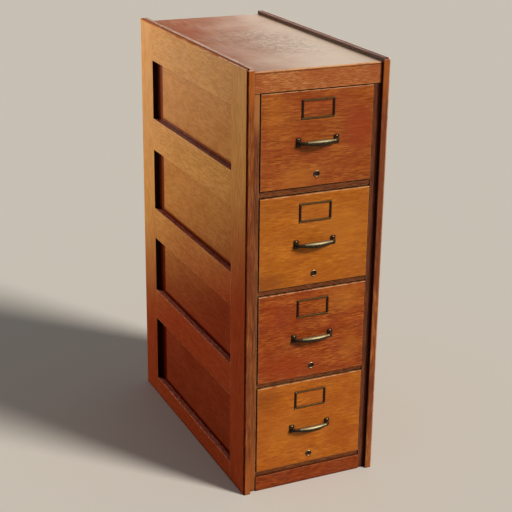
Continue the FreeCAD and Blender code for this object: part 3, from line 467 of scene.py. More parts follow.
side_layers = (specked(0.35, (214, 172, 120)), painted_sheen_above(FRAME_FOOT))
side_look = {"coat": (0.4, 0.6), "coat_roughness": 0.35, "sheen": 0.0, "coat_share": kept_varnish}
stile_wood = varnished_wood("side_stile_wood", "Z", FRAME_STAIN, offset=0.31, dash=(0.05, 0.005),
                            layers=side_layers, **side_look)
lip_wood = varnished_wood("lip_wood", "Z", LIP_STAIN, offset=0.83, dash=(0.05, 0.0026),
                          patch=(LIP_PATCH, 0.7), patch_size=0.1, corner=0.006,
                          layers=(orange_ends,), coat=(0.0, 0.15), sheen=0.0)
corner_wood = varnished_wood("corner_painted_shade_wood", "Z", CORNER_SHADE, offset=1.1, rubbed=0.1,
                             coat=(0.0, 0.1), sheen=0.0)
reveal_wood = varnished_wood("reveal_painted_shade_wood", "Z", REVEAL_SHADE, offset=1.4, rubbed=0.0,
                             coat=(0.0, 0.05))
ledge_wood = varnished_wood("dark_ledge_wood", "Y", LEDGE_DARK, offset=1.9, rubbed=0.7,
                            dirt_and_shade=0.5)
bead_wood = varnished_wood("side_top_sheen_wood", "Y", BEAD_SHEEN, offset=2.3, dash=(0.03, 0.003),
                           patch=((140, 88, 70), 0.4), coat=(0.3, 0.6), coat_roughness=0.35,
                           dirt_and_shade=0.6)
cream_wood = varnished_wood("side_bead_highlight_wood", "Y", CREAM_HIGHLIGHT, offset=2.5, dash=(0.03, 0.003),
                            patch=((170, 120, 100), 0.3), patch_size=0.05, coat=(0.3, 0.6),
                            coat_roughness=0.35, dirt_and_shade=0.15)
inner_wood = varnished_wood("side_inner_wood", "Z", INSIDE_STAIN, offset=2.7, rubbed=0.2,
                            coat=(0.0, 0.05), layers=(shaded_rims,))
kept_woods = (lip_wood, reveal_wood, ledge_wood, bead_wood, inner_wood, corner_wood, cream_wood)
for name in ("left_front_stile", "left_rear_stile", "right_front_stile", "right_rear_stile"):
    eased_board(name, "case", (stile_wood, *kept_woods), STILE_EASE,
                choose=side_face_finish)


# Side rails: five boards a side of the same wood, tenoned between the stiles with the grain lying
# level.

rail_wood = varnished_wood("side_rail_wood", "Y", FRAME_STAIN, offset=1.7, dash=(0.03, 0.005),
                           layers=side_layers, **side_look)
for name in ("left_rails", "right_rails"):
    eased_board(name, "case", (rail_wood, *kept_woods), STILE_EASE,
                choose=side_face_finish)


# Side panels: four thin boards a side, loose in grooves and set well back from the frame's face.
# A strip along the rear stile and above each rail is painted darker, as the shadow that the frame
# casts on the panel.

# The panels take the same painted sheen, tan above and darker towards the floor.
PANEL_STAIN = {"dark": (156, 106, 58), "middle": (164, 114, 64), "light": (172, 122, 71)}
PANEL_FOOT = (0.46, 0.17, 0.20, 1)
PANEL_GROOVE = 7.5 * MM
STRIP_SHADOW = (0.34, 0.13, 0.11, 1)
SHADOW_STRIP_WIDTH = 44 * MM
SHADOW_STRIP_HEIGHT = 11 * MM
STRIP_EDGE, FOOT_EDGE = (-6 * MM, 2 * MM), (7 * MM, -4 * MM)
PANEL_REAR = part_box("left_panels")[1][1] - PANEL_GROOVE
panel_ends = sorted({round(vert.co.z, 4) for vert in nodes["left_panels"].data.vertices})
PANEL_FEET = [end + PANEL_GROOVE for end in panel_ends[::2]]


def painted_shadow_strips(tree, place, under):
    """The painted shadow on a panel: darker strips beside the rear stile and above the rails."""
    parts = split(tree, place)
    share = near(tree, parts["Y"], PANEL_REAR - SHADOW_STRIP_WIDTH, *STRIP_EDGE)
    for foot in PANEL_FEET:
        above = near(tree, parts["Z"], foot + SHADOW_STRIP_HEIGHT, *FOOT_EDGE)
        here = math_node(tree, "GREATER_THAN", parts["Z"], foot - PANEL_GROOVE)
        share = math_node(tree, "MAXIMUM", share, times(tree, above, here))
    return blend(tree, 1.0, under, blend(tree, share, (1, 1, 1, 1), STRIP_SHADOW), "MULTIPLY")


panel_wood = varnished_wood("side_panel_wood", "Y", PANEL_STAIN, offset=2.9, dash=(0.03, 0.006),
                            layers=(specked(0.5, (210, 166, 116)), painted_sheen_above(PANEL_FOOT),
                                    painted_shadow_strips),
                            patch=((140, 80, 40), 0.25), patch_size=0.2, **side_look)
for name in ("left_panels", "right_panels"):
    paint(nodes[name], panel_wood)


# Top board: a wide glued board let down between the sides. Its varnish is glossy towards the front
# and the right, where a pale sheen is painted into its colour, and crazed and dirty in the middle.

TOP_STAIN = {"dark": (128, 74, 50), "middle": (146, 88, 62), "light": (160, 104, 76)}
# A pale sheen painted into the top's colour towards the front and the right.
TOP_SHEEN = (192, 175, 156)
CRAZE_PLACE = (0.03, -0.03, 1.309)
CRAZE_REACH = (0.20, 0.34, 0.1)
CRAZE_CELL = 0.0095
CRAZE_TONE = (104, 74, 50)


def kept_gloss(tree, place):
    """From nothing at the far left of the top to full gloss at the front and the right."""
    parts = split(tree, place)
    across = math_node(tree, "SUBTRACT", parts["X"], times(tree, parts["Y"], 0.3))
    uneven = times(tree, noise(tree, place, 9.0, 3.0, 0.6), 0.20)
    return spread(tree, math_node(tree, "ADD", across, uneven), -0.14, 0.32)


def reaches_from(tree, place, centre, reach):
    """How far a place is from a centre, counted in reaches."""
    away = vector_node(tree, "DIVIDE", vector_node(tree, "SUBTRACT", place, centre), reach)
    return place_node(tree, "ShaderNodeVectorMath", {0: away}, operation="LENGTH").outputs["Value"]


def crazed_patch(tree, place, under):
    """A pale sheen painted towards the front and the right, with a patch of fine dark cracks in
    its middle.
    """
    under = blend(tree, times(tree, kept_gloss(tree, place), 0.8), under, stain(*TOP_SHEEN))
    far = reaches_from(tree, place, CRAZE_PLACE, CRAZE_REACH)
    ragged = times(tree, noise(tree, place, 26.0, 3.0, 0.7), 0.9)
    inside = spread(tree, math_node(tree, "ADD", far, ragged), 1.35, 0.70)
    cells = place_node(tree, "ShaderNodeTexVoronoi", {"Vector": place, "Scale": 1 / CRAZE_CELL},
                       feature="DISTANCE_TO_EDGE")
    cracks = spread(tree, cells.outputs["Distance"], 0.30, 0.06)
    broken = spread(tree, noise(tree, place, 60.0, 2.0), 0.42, 0.54)
    share = times(tree, times(tree, cracks, broken), inside)
    return blend(tree, times(tree, share, 0.7), under, stain(*CRAZE_TONE))


top_wood = varnished_wood("top_wood", "Y", TOP_STAIN, offset=4.2, dash=(0.06, 0.004),
                          patch=((146, 76, 50), 0.5), patch_size=0.16, coat=(0.7, 0.9),
                          coat_roughness=0.4, coat_share=kept_gloss, layers=(crazed_patch,))
eased_board("top_board", "case", [top_wood])


# Face frame: two upright stiles against the sides, a broad rail across their tops, and between
# them a thin rail below each drawer and a plinth. All butt together, most darker than the drawers.

# Rubbed wear with a painted highlight, on the lit upper arrises.
RUB_AND_HIGHLIGHT_TONE = (214, 160, 114)
TAN, FOOT_ORANGE = (166, 108, 58), (146, 80, 34)
RAIL_SETBACK = 9 * MM
RAIL_EASE = 1.2 * MM
LINE_FOOT, LINE_HEAD = (-9 * MM, -6 * MM), (-3 * MM, -4.5 * MM)
PALE_RIM, PALE_DEPTH = (-4 * MM, -2 * MM), (6 * MM, 3 * MM)
FACE_STAIN = {"dark": (84, 44, 24), "middle": (102, 56, 32), "light": (124, 74, 42)}
RIGHT_FACE_SHADE = {"dark": (70, 32, 18), "middle": (86, 42, 24), "light": (106, 56, 32)}
DIVIDER_STAIN = {"dark": (76, 38, 18), "middle": (100, 52, 24), "light": (120, 68, 34)}
BROAD_RAIL_STAIN = {"dark": (138, 76, 36), "middle": (162, 98, 52), "light": (186, 124, 74)}
PLINTH_STAIN = {"dark": (100, 38, 10), "middle": (120, 48, 14), "light": (140, 66, 24)}


def tan_ends(tree, place, under):
    """The left stile is tan at its top and orange at its foot."""
    height = split(tree, place)["Z"]
    under = blend(tree, spread(tree, height, 1.10, 1.19, 0.0, 0.8), under, stain(*TAN))
    return blend(tree, spread(tree, height, 0.22, 0.12, 0.0, 0.7), under, stain(*FOOT_ORANGE))


face_wood = varnished_wood("face_stile_wood", "Z", FACE_STAIN, offset=5.3, dash=(0.06, 0.0026),
                           patch=((136, 76, 30), 0.4), corner=0.012, layers=(tan_ends,))
# The right stile is a darker copy of the left, painted with the shade that the right side casts on
# it.
right_face_wood = varnished_wood("right_face_stile_shaded_wood", "Z", RIGHT_FACE_SHADE, offset=5.8,
                                 dash=(0.06, 0.0026), corner=0.012)
divider_wood = varnished_wood("divider_wood", "X", DIVIDER_STAIN, offset=6.1)


def pale_front_edge(tree, place, under):
    """The upper front arris of the broad rail is pale, rubbed and with a painted highlight, over a
    fine dark line.
    """
    parts = split(tree, place)
    dark = times(tree, near(tree, parts["Z"], BOARD_TOP, *LINE_FOOT, 0.55),
                 near(tree, parts["Z"], BOARD_TOP, *LINE_HEAD))
    under = blend(tree, dark, under, stain(*GRIME_AND_SHADE))
    pale = times(tree, near(tree, parts["Z"], BOARD_TOP, *PALE_RIM, 0.8),
                 near(tree, parts["Y"], LIP_FRONT + RAIL_SETBACK, *PALE_DEPTH))
    patchy = spread(tree, noise(tree, place, 30.0, 3.0, 0.6), 0.30, 0.50, 0.3, 1.0)
    return blend(tree, times(tree, pale, patchy), under, stain(*RUB_AND_HIGHLIGHT_TONE))


broad_rail_wood = varnished_wood("broad_rail_wood", "X", BROAD_RAIL_STAIN, offset=7.4,
                                 patch=((146, 72, 36), 0.6), patch_size=0.08,
                                 layers=(pale_front_edge,))
plinth_wood = varnished_wood("plinth_wood", "X", PLINTH_STAIN, offset=8.6)
eased_board("face_left_stile", "case", [face_wood])
eased_board("face_right_stile", "case", [right_face_wood])
eased_board("divider_rails", "case", [divider_wood], shortest=25 * MM)
eased_board("face_top_rail", "case", [broad_rail_wood], RAIL_EASE)
eased_board("plinth_rail", "case", [plinth_wood], RAIL_EASE)


# Back: a frame and two panels of plainer wood, screwed into rabbets in the sides. It is thinly
# varnished and was never polished.

BACK_STAIN = {"dark": (102, 62, 36), "middle": (116, 74, 43), "light": (130, 88, 54)}
back_wood = varnished_wood("back_frame_wood", "Z", BACK_STAIN, offset=9.5, dash=(0.08, 0.003),
                           coat=(0.0, 0.1), roughness=0.65)
back_panel_wood = varnished_wood("back_panel_wood", "Z", BACK_STAIN, offset=10.4,
                                 dash=(0.12, 0.005), patch=((96, 54, 30), 0.4), patch_size=0.2,
                                 coat=(0.0, 0.1), roughness=0.65)
paint(nodes["back_frame"], back_wood)
paint(nodes["back_panels"], back_panel_wood)


# Bottom board and runners: bare brown wood inside the case. The runners are screwed to the sides,
# and the extension bars of the drawers slide in their grooves.

RUNNER_STAIN = {"dark": (110, 74, 42), "middle": (140, 100, 60), "light": (164, 124, 80)}
runner_wood = varnished_wood("runner_wood", "Y", RUNNER_STAIN, offset=11.2, coat=(0.0, 0.15),
                             roughness=0.6, patch=((110, 70, 38), 0.3), dash=(0.06, 0.003))
for name in ("bottom_board", "left_case_runners", "right_case_runners"):
    paint(nodes[name], runner_wood)


# Drawer fronts: four boards of level, figured grain under satin varnish. The first and third are
# redder, the second and fourth golden. Each place where the stain took unevenly has its distance
# from the front's middle, its reach, its colour and its strength.

FRONT_STAINS = {
    1: {"dark": (118, 54, 18), "middle": (142, 73, 26), "light": (164, 94, 38),
        "patch": (130, 56, 20)},
    2: {"dark": (146, 80, 20), "middle": (163, 93, 24), "light": (180, 109, 34),
        "patch": (148, 78, 22)},
    3: {"dark": (110, 46, 14), "middle": (142, 66, 20), "light": (168, 92, 36),
        "patch": (124, 44, 14)},
    4: {"dark": (142, 75, 18), "middle": (160, 88, 22), "light": (178, 105, 32),
        "patch": (150, 74, 20)},
}
RED, DEEP, GOLD = (134, 50, 20), (118, 58, 18), (178, 110, 38)
STAINED_PLACES = {
    1: ((0.13, 0.02, 0.07, 0.09, RED, 0.7), (0.05, 0.10, 0.16, 0.04, RED, 0.4),
        (-0.13, 0.08, 0.05, 0.08, GOLD, 0.3), (-0.06, -0.11, 0.09, 0.05, GOLD, 0.35)),
    2: ((-0.15, -0.12, 0.10, 0.04, DEEP, 0.6), (0.09, 0.02, 0.10, 0.10, GOLD, 0.4),
        (-0.13, 0.11, 0.08, 0.04, DEEP, 0.3)),
    3: ((-0.08, -0.10, 0.12, 0.05, RED, 0.7), (-0.12, 0.06, 0.06, 0.08, RED, 0.4),
        (0.10, 0.10, 0.10, 0.06, GOLD, 0.4), (0.13, -0.06, 0.05, 0.08, GOLD, 0.25)),
    4: ((-0.15, 0.10, 0.06, 0.05, DEEP, 0.5), (-0.08, -0.03, 0.10, 0.08, GOLD, 0.35),
        (0.12, -0.08, 0.07, 0.06, RED, 0.25)),
}
RIM_START, RIM_FULL = 2.4 * MM, 0.8 * MM
LEFT_RIM, RIGHT_RIM = 0.5, 0.3


def worn_and_lit_rims(low, high):
    """A layer that is light along a front's arrises, most of all along the top: rubbed wear with a
    painted highlight.
    """

    def layer(tree, place, under):
        parts = split(tree, place)
        share = near(tree, parts["Z"], high[2], -RIM_START, -RIM_FULL)
        for edge, way, strength in ((low[0], 1, LEFT_RIM), (high[0], -1, RIGHT_RIM)):
            side = near(tree, parts["X"], edge, way * RIM_START, way * RIM_FULL, strength)
            share = math_node(tree, "MAXIMUM", share, side)
        patchy = spread(tree, noise(tree, place, 40.0, 3.0, 0.6), 0.36, 0.56, 0.1, 0.7)
        return blend(tree, times(tree, share, patchy), under, stain(*RUB_AND_HIGHLIGHT_TONE))

    return layer


def stained_places(middle, places):
    """A layer of soft uneven places on one front, about the middle of its face."""

    def layer(tree, place, under):
        uneven = noise(tree, place, 22.0, 4.0, 0.65)
        for across, up, wide, high, colour, strength in places:
            far = reaches_from(tree, place, (across, middle[1], middle[2] + up), (wide, 1.0, high))
            share = spread(tree, math_node(tree, "ADD", far, uneven), 1.6, 0.7, 0.0, strength)
            under = blend(tree, share, under, stain(*colour))
        return under

    return layer


for number, colours in FRONT_STAINS.items():
    low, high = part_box(f"drawer_{number}_front")
    middle = (0, low[1], (low[2] + high[2]) / 2)
    front_wood = varnished_wood(f"drawer_{number}_front_wood", "X", colours, offset=12 + number,
                                dash=(0.030, 0.0022), patch=(colours["patch"], 0.5),
                                patch_size=0.05, coat=(0.08, 0.25),
                                layers=(stained_places(middle, STAINED_PLACES[number]),
                                        worn_and_lit_rims(low, high)))
    paint(nodes[f"drawer_{number}_front"], front_wood)


# Drawer boxes: sides, back, bottom and follower of pale bare wood, gone brown with age. The sides
# are let into the front, and the bars run in their grooves.

BARE_STAIN = {"dark": (164, 126, 82), "middle": (176, 138, 92), "light": (188, 150, 104)}
bare_look = {"dash": (0.08, 0.004), "coat": (0.0, 0.0), "roughness": 0.7,
             "patch": ((150, 104, 62), 0.4)}
box_side_wood = varnished_wood("box_side_wood", "Y", BARE_STAIN, offset=18.0, **bare_look)
box_back_wood = varnished_wood("box_back_wood", "X", BARE_STAIN, offset=19.0, **bare_look)
DRAWERS = [f"drawer_{number}" for number in FRONT_STAINS]
for drawer in DRAWERS:
    eased_board(f"{drawer}_sides", drawer, [box_side_wood])
    eased_board(f"{drawer}_back", drawer, [box_back_wood])
    paint(nodes[f"{drawer}_bottom"], box_side_wood)
    paint(nodes[f"{drawer}_follower"], box_back_wood)
    paint(nodes[f"{drawer}_extension_bars"], runner_wood)


# Pulls: cast brass, one piece each, with two end plates, a quarter-round neck rising from each and
# a bowed grip that swells to the middle. The top of the grip is bright, rubbed by hands and with a
# painted highlight, and the rest is black with patina and painted shade.

PULL_PLATE_WIDTH = 15 * MM
PULL_PLATE_THICKNESS = 3 * MM
PULL_PLATE_EASE = 1.0 * MM
NECK_RADIUS = 15.5 * MM
NECK_THICKNESS = 11 * MM
GRIP_THICKNESS = 18 * MM
GRIP_SWELL = 2.6
GRIP_RINGS = 28
ROUND_SIDES = 28
NECK_STEPS = 9
NECK_COLLAR = 1.25
DARK_END = 4 * MM
TARNISH_REACH, TARNISH_LIGHT = 0.006, (0.75, 0.35)


def make_tarnish_and_highlight_group():
    """Where old brass is bright on what faces up, as rubbed wear and a painted highlight, and
    where it is black in corners.
    """
    group, start, end = effect_group("tarnish and highlight", {
        "Place": (VECTOR, None), "Low": (FLOAT, 0.0), "High": (FLOAT, 0.5),
    }, ("Bright", "Black", "Mottle"))
    straight = place_node(group, "ShaderNodeNewGeometry").outputs["Normal"]
    upward = place_node(group, "ShaderNodeSeparateXYZ", {0: straight}).outputs["Z"]
    mottle = noise(group, start.outputs["Place"], 260.0, 3.0, 0.6)
    swayed = math_node(group, "ADD", upward, times(group, mottle, 0.3))
    bright = spread(group, swayed, start.outputs["Low"], start.outputs["High"])
    open_sky = place_node(group, "ShaderNodeAmbientOcclusion", {"Distance": TARNISH_REACH},
                          samples=6)
    black = spread(group, open_sky.outputs["AO"], *TARNISH_LIGHT)
    return finish_group(group, end, {"Bright": bright, "Black": black, "Mottle": mottle})


TARNISH_AND_HIGHLIGHT = make_tarnish_and_highlight_group()


def old_metal(name, dull, bright, black, roughness, rub_and_highlight):
    """Metal that is dull and dark below, with painted shade, and bright on top as rubbed wear with
    a painted highlight, and black in its corners. It turns bright between two shares of facing up."""
    material, tree, shader, place = new_material(name)
    worn = place_node(tree, "ShaderNodeGroup", {"Place": place, "Low": rub_and_highlight[0], "High": rub_and_highlight[1]},
                      node_tree=TARNISH_AND_HIGHLIGHT)
    uneven = spread(tree, worn.outputs["Mottle"], 0.40, 0.70, 0.0, 0.12)
    body = blend(tree, uneven, stain(*dull), stain(*bright))
    body = blend(tree, worn.outputs["Bright"], body, stain(*bright))
    body = blend(tree, worn.outputs["Black"], body, stain(*black))
    tree.links.new(body, shader.inputs["Base Color"])
    rough = spread(tree, worn.outputs["Bright"], 0.0, 1.0, roughness[1], roughness[0])
    tree.links.new(rough, shader.inputs["Roughness"])
    tree.links.new(worn.outputs["Bright"], shader.inputs["Metallic"])
    shader.inputs["Specular IOR Level"].default_value = 0.12
    bump = place_node(tree, "ShaderNodeBump", {
        "Height": worn.outputs["Mottle"], "Strength": 0.2, "Distance": 0.0001})
    tree.links.new(bump.outputs["Normal"], shader.inputs["Normal"])
    return material


grip_brass = old_metal("grip_brass", (30, 20, 5), (150, 138, 106), (12, 7, 3),
                       roughness=(0.5, 0.6), rub_and_highlight=(0.34, 0.86))
plate_brass = old_metal("plate_brass", (26, 17, 8), (120, 92, 62), (10, 5, 3),
                        roughness=(0.4, 0.55), rub_and_highlight=(0.75, 1.15))


def soften(work, angle=35):
    """Smooth shading that still breaks at the sharper edges."""
    for face in work.faces:
        face.smooth = True
    for edge in work.edges:
        edge.smooth = len(edge.link_faces) == 2 and edge.calc_face_angle() < math.radians(angle)


def ring(work, radius, centre, turn):
    """A round of edges square to the turned Z axis."""
    matrix = Matrix.Translation(centre) @ turn
    made = bmesh.ops.create_circle(work, segments=ROUND_SIDES, radius=radius, matrix=matrix)
    return list({edge for vert in made["verts"] for edge in vert.link_edges})


def pull_work(drawer):
    """The whole casting of one drawer, from the limits of its solid."""
    low, high = (Vector(corner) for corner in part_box(f"{drawer}_pull"))
    middle = (low + high) / 2
    face = high.y
    plate_out = high.x - PULL_PLATE_WIDTH / 2
    neck_out = plate_out - NECK_RADIUS
    plate_front = face - PULL_PLATE_THICKNESS
    end_line = plate_front - NECK_RADIUS
    middle_line = low.y + GRIP_THICKNESS / 2
    across = Matrix.Rotation(math.radians(90), 4, "Y")
    work = bmesh.new()
    rings = []
    for step in range(GRIP_RINGS + 1):
        place = 2 * step / GRIP_RINGS - 1
        centre = Vector((place * neck_out, middle_line + (end_line - middle_line) * place ** 2,
                         middle.z))
        swell = (GRIP_THICKNESS - NECK_THICKNESS) * (1 - abs(place) ** GRIP_SWELL)
        rings.append(ring(work, (NECK_THICKNESS + swell) / 2, centre, across))
    for pair in zip(rings, rings[1:]):
        bmesh.ops.bridge_loops(work, edges=pair[0] + pair[1])
    for hand, edges in ((1, rings[-1]), (-1, rings[0])):
        verts = list({vert for edge in edges for vert in edge.verts})
        bend = (hand * neck_out, plate_front, middle.z)
        swept = bmesh.ops.spin(work, geom=verts + edges, cent=bend, axis=(0, 0, hand),
                               angle=math.radians(90), steps=NECK_STEPS)
        foot = [item for item in swept["geom_last"] if isinstance(item, bmesh.types.BMVert)]
        centre = Vector((hand * plate_out, plate_front, middle.z))
        bmesh.ops.scale(work, vec=(NECK_COLLAR, 1, NECK_COLLAR), verts=foot,
                        space=Matrix.Translation(-centre))
    for hand in (-1, 1):
        size = (PULL_PLATE_WIDTH, PULL_PLATE_THICKNESS, high.z - low.z)
        centre = (hand * plate_out, face - PULL_PLATE_THICKNESS / 2, middle.z)
        made = bmesh.ops.create_cube(work, matrix=Matrix.LocRotScale(Vector(centre), None,
                                                                     Vector(size)))
        sides = {edge for vert in made["verts"] for edge in vert.link_edges}
        edges = [edge for edge in sides if any(vert.co.y < face - MM for vert in edge.verts)]
        bmesh.ops.bevel(work, geom=edges, offset=PULL_PLATE_EASE, segments=3, profile=0.5,
                        affect="EDGES", material=-1)
    bmesh.ops.recalc_face_normals(work, faces=work.faces)
    # The ends of the grip take the plates' dark brass, as painted shade.
    for part in work.faces:
        aside = part.calc_center_median().x
        dark = aside < DARK_END - neck_out or aside > neck_out + DARK_END
        part.material_index = 1 if dark else 0
    soften(work)
    return work


for drawer in DRAWERS:
    finish_piece(f"{drawer}_cast_pull", pull_work(drawer), (grip_brass, plate_brass), drawer,
                 f"{drawer}_pull")


# Label holders: pressed brass frames with a rounded rim, pinned at the corners, open at the top
# for a card. Their upright bars are painted nearly black, as shade, and the level ones olive.

LABEL_EASE = 1.3 * MM
LABEL_BAR = 6 * MM
bar_brass = old_metal("label_brass", (70, 46, 16), (176, 138, 84), (20, 10, 4),
                      roughness=(0.35, 0.5), rub_and_highlight=(0.6, 1.0))
# The upright bars are a dark copy of the frame's brass, painted as shade.
upright_brass = old_metal("label_upright_brass", (28, 10, 5), (84, 58, 30), (10, 4, 3),
                          roughness=(0.4, 0.6), rub_and_highlight=(0.6, 1.2))
for drawer in DRAWERS:
    work = bmesh.new()
    work.from_mesh(nodes[f"{drawer}_label_holder"].data)
    bmesh.ops.remove_doubles(work, verts=work.verts, dist=SAME_POINT)
    low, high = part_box(f"{drawer}_label_holder")
    rims = [edge for edge in work.edges
            if edge.is_manifold and edge.calc_length() > 40 * MM
            and edge.calc_face_angle() > SHARP_TURN
            and all(vert.co.y < low[1] + HAIR for vert in edge.verts)]
    bmesh.ops.bevel(work, geom=rims, offset=LABEL_EASE, segments=4, profile=0.5, affect="EDGES",
                    material=-1)
    soften(work, 50)
    for part in work.faces:
        middle = part.calc_center_median()
        part.material_index = 1 if abs(middle.x) > high[0] - LABEL_BAR else 0
    finish_piece(f"{drawer}_label_frame", work, (bar_brass, upright_brass), drawer,
                 f"{drawer}_label_holder")


# Screws, pins and ferrules: slotted dome-headed brass screws hold the pulls and small round pins
# the label holders. A turned brass ferrule with a rounded flange lines the hole of each guide rod.

PULL_SCREW = {"head": 3.25 * MM, "height": 2 * MM, "shank": 1.75 * MM, "length": 18.5 * MM}
LABEL_PIN = {"head": 1.6 * MM, "height": 0.8 * MM, "shank": 0.75 * MM, "length": 11.5 * MM}
SLOT_WIDTH = 0.9 * MM
SLOT_DEPTH = 0.8 * MM
SCREW_SIDES, FERRULE_SIDES = 20, 36


def turned_work(profile, sides):
    """A round solid turned about Z from pairs of radius and height."""
    work = bmesh.new()
    line = [work.verts.new((radius, 0, height)) for radius, height in profile]
    edges = [work.edges.new(pair) for pair in zip(line, line[1:])]
    bmesh.ops.spin(work, geom=line + edges, cent=(0, 0, 0), axis=(0, 0, 1), angle=2 * math.pi,
                   steps=sides, use_merge=True)
    bmesh.ops.remove_doubles(work, verts=work.verts, dist=0.005 * MM)
    bmesh.ops.recalc_face_normals(work, faces=work.faces)
    return work


def cut_slot(work, top):
    """Press a straight slot into the head, along X."""
    for side in (-1, 1):
        bmesh.ops.bisect_plane(work, geom=work.verts[:] + work.edges[:] + work.faces[:],
                               plane_co=(0, side * SLOT_WIDTH / 2, 0), plane_no=(0, 1, 0))
    floor = [face for face in work.faces
             if abs(face.calc_center_median().y) < SLOT_WIDTH / 2 - 0.01 * MM
             and face.normal.z > 0.3 and face.calc_center_median().z > 0]
    sunk = bmesh.ops.extrude_face_region(work, geom=floor)["geom"]
    bmesh.ops.delete(work, geom=floor, context="FACES")
    for item in sunk:
        if isinstance(item, bmesh.types.BMVert):
            item.co.z = min(item.co.z, top - SLOT_DEPTH)


def screw_work(sizes, slotted):
    """A dome-headed screw or pin with the underside of its head at the origin, along Z."""
    head, height = sizes["head"], sizes["height"]
    profile = [(0, -sizes["length"]), (sizes["shank"], -sizes["length"]), (sizes["shank"], 0),
               (head, 0)]
    profile += [(head * math.cos(turn), height * math.sin(turn))
                for turn in (math.radians(angle) for angle in (15, 30, 45, 60, 75))]
    work = turned_work(profile + [(0, height)], SCREW_SIDES)
    if slotted:
        cut_slot(work, height)
    soften(work)
    return work


def set_in(work, part, matrix):
    """Put a copy of a finished part into the piece being made."""
    mesh = bpy.data.meshes.new("part")
    part.to_mesh(mesh)
    before = len(work.verts)
    work.from_mesh(mesh)
    work.verts.ensure_lookup_table()
    bmesh.ops.transform(work, matrix=matrix, verts=work.verts[before:])
    bpy.data.meshes.remove(mesh)


OUT_OF_FRONT = Matrix.Rotation(math.radians(90), 4, "X")
SLOT_TURNS = (20, 75, 140, 105)
NEXT_DRAWER_TURN = 25
CORNERS = ((-1, -1), (-1, 1), (1, -1), (1, 1))
PULL_SCREW_SPACING = 17 * MM
PIN_INSET = 2.4 * MM
FERRULE_PROFILE = [(4.95, 22), (8, 22), (8, 0), (9.4, 0), (9.9, -0.5), (10, -1.0), (9.7, -1.6),
                   (9, -2), (8, -1.9), (7.3, -1.4), (7, -0.6), (7, 9.3), (5.1, 9.3), (4.95, 22)]
ferrule_brass = old_metal("ferrule_brass", (44, 18, 8), (206, 176, 134), (8, 4, 2),
                          roughness=(0.4, 0.6), rub_and_highlight=(0.4, 0.85))
ferrule = turned_work([(radius * MM, height * MM) for radius, height in FERRULE_PROFILE],
                      FERRULE_SIDES)
soften(ferrule)
pull_screw = screw_work(PULL_SCREW, True)
label_pin = screw_work(LABEL_PIN, False)
for number, drawer in enumerate(DRAWERS, start=1):
    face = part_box(f"{drawer}_front")[0][1]
    rod_low, rod_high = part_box(f"{drawer}_guide_rod")
    rod_height = (rod_low[2] + rod_high[2]) / 2
    work = bmesh.new()
    set_in(work, ferrule, Matrix.Translation((0, face, rod_height)) @ OUT_OF_FRONT.inverted())
    pull_low, pull_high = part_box(f"{drawer}_pull")
    plate_out = pull_high[0] - PULL_PLATE_WIDTH / 2
    middle = (pull_low[2] + pull_high[2]) / 2
    for (across, up), turn in zip(CORNERS, SLOT_TURNS):
        place = (across * plate_out, face - PULL_PLATE_THICKNESS,
                 middle + up * PULL_SCREW_SPACING / 2)
        turned = Matrix.Rotation(math.radians(turn + NEXT_DRAWER_TURN * number), 4, "Z")
        set_in(work, pull_screw, Matrix.Translation(place) @ OUT_OF_FRONT @ turned)
    low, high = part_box(f"{drawer}_label_holder")
    for across, up in CORNERS:
        place = (across * (high[0] - PIN_INSET), low[1],
                 (low[2] + high[2]) / 2 + up * ((high[2] - low[2]) / 2 - PIN_INSET))
        set_in(work, label_pin, Matrix.Translation(place) @ OUT_OF_FRONT)
    finish_piece(f"{drawer}_small_brass", work, [ferrule_brass], drawer,
                 f"{drawer}_fittings")


# Guide rods and case screws: drawn steel rods with a slotted head, browned with age, and the steel
# screws of the runners and the back.

steel = old_metal("dull_steel", (40, 26, 16), (122, 106, 88), (14, 8, 4),
                  roughness=(0.35, 0.5), rub_and_highlight=(0.6, 1.15))
for drawer in DRAWERS:
    paint(nodes[f"{drawer}_guide_rod"], steel)
paint(nodes["case_screws"], steel)


# Floor, lamps and camera: a plain pale floor and a warm key lamp in front to the right. One lamp
# washes the upper left side from behind and one the top board from the far right. These two leave
# the floor alone, so that it stays even.

FLOOR_SIZE = 60.0
FLOOR_TONE = (216, 214, 210)
floor_paint = bpy.data.materials.new("floor_paint")
floor_paint.use_nodes = True
floor_shader = floor_paint.node_tree.nodes["Principled BSDF"]
floor_shader.inputs["Base Color"].default_value = stain(*FLOOR_TONE)
floor_shader.inputs["Roughness"].default_value = 0.9
floor_shader.inputs["Specular IOR Level"].default_value = 0.1
work = bmesh.new()
bmesh.ops.create_grid(work, x_segments=1, y_segments=1, size=FLOOR_SIZE / 2)
floor = new_piece("floor", work, [floor_paint])


def lamp(kind, name, place, target, strength, colour):
    """A lamp that the camera doesn't see, turned from its place to its target."""
    light = bpy.data.lights.new(name, kind)
    light.energy = strength
    light.color = stain(*colour)[:3]
    made = bpy.data.objects.new(name, light)
    made.location = place
    made.rotation_euler = (Vector(target) - Vector(place)).to_track_quat("-Z", "Y").to_euler()
    made.visible_camera = False
    bpy.context.scene.collection.objects.link(made)
    return made


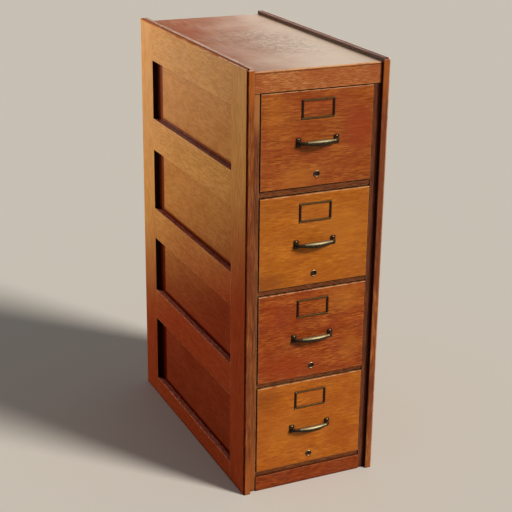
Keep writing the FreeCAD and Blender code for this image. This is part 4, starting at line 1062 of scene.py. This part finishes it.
key_lamp = lamp("SUN", "key_lamp", place=(5.14, -6.59, 5.6), target=(0, 0, 0), strength=3.6,
                colour=(255, 246, 232))
key_lamp.data.angle = math.radians(14)
side_lamp = lamp("AREA", "side_lamp", place=(-1.35, 1.9, 1.7), target=(-0.2, 0.0, 0.8),
                 strength=75, colour=(255, 238, 210))
side_lamp.data.size = 0.4
top_lamp = lamp("AREA", "top_lamp", place=(2.6, 4.6, 2.3), target=(0.1, -0.1, 1.3), strength=14,
                colour=(255, 246, 236))
top_lamp.data.size = 1.8
unlit = bpy.data.collections.new("unlit_by_the_small_lamps")
unlit.objects.link(floor)
unlit.collection_objects[0].light_linking.link_state = "EXCLUDE"
for small_lamp in (side_lamp, top_lamp):
    small_lamp.light_linking.receiver_collection = unlit

WORLD_TONE = (208, 206, 202)
world = bpy.data.worlds.new("studio")
bpy.context.scene.world = world
world.use_nodes = True
sky = world.node_tree
sky.nodes.clear()
seen = place_node(sky, "ShaderNodeLightPath")
straight_on = math_node(sky, "ADD", seen.outputs["Is Camera Ray"], seen.outputs["Is Glossy Ray"])
straight_on = math_node(sky, "ADD", straight_on, seen.outputs["Is Transmission Ray"], True)
dim = place_node(sky, "ShaderNodeBackground", {"Color": stain(*WORLD_TONE), "Strength": 0.3})
pale = place_node(sky, "ShaderNodeBackground", {"Color": stain(*WORLD_TONE), "Strength": 1.0})
chosen = place_node(sky, "ShaderNodeMixShader", {0: straight_on, 1: dim.outputs[0],
                                                 2: pale.outputs[0]})
place_node(sky, "ShaderNodeOutputWorld", {"Surface": chosen.outputs[0]})

CAMERA_PLACE = (-1.5784, -3.4530, 2.0235)
CAMERA_PITCH = -20.457
CAMERA_ROLL = -0.698
CAMERA_YAW = -24.581
CAMERA_LENS = 87.67
view = bpy.data.cameras.new("camera")
view.lens = CAMERA_LENS
view.sensor_width = 36.0
camera = bpy.data.objects.new("camera", view)
turn = Matrix.Rotation(math.radians(CAMERA_YAW), 4, "Z")
turn = turn @ Matrix.Rotation(math.radians(CAMERA_PITCH), 4, "X")
turn = turn @ Matrix.Rotation(math.radians(CAMERA_ROLL), 4, "Y")
turn = turn @ Matrix.Rotation(math.radians(90), 4, "X")
camera.matrix_world = Matrix.Translation(CAMERA_PLACE) @ turn
bpy.context.scene.collection.objects.link(camera)
bpy.context.scene.camera = camera
bpy.context.scene.view_settings.view_transform = "Standard"
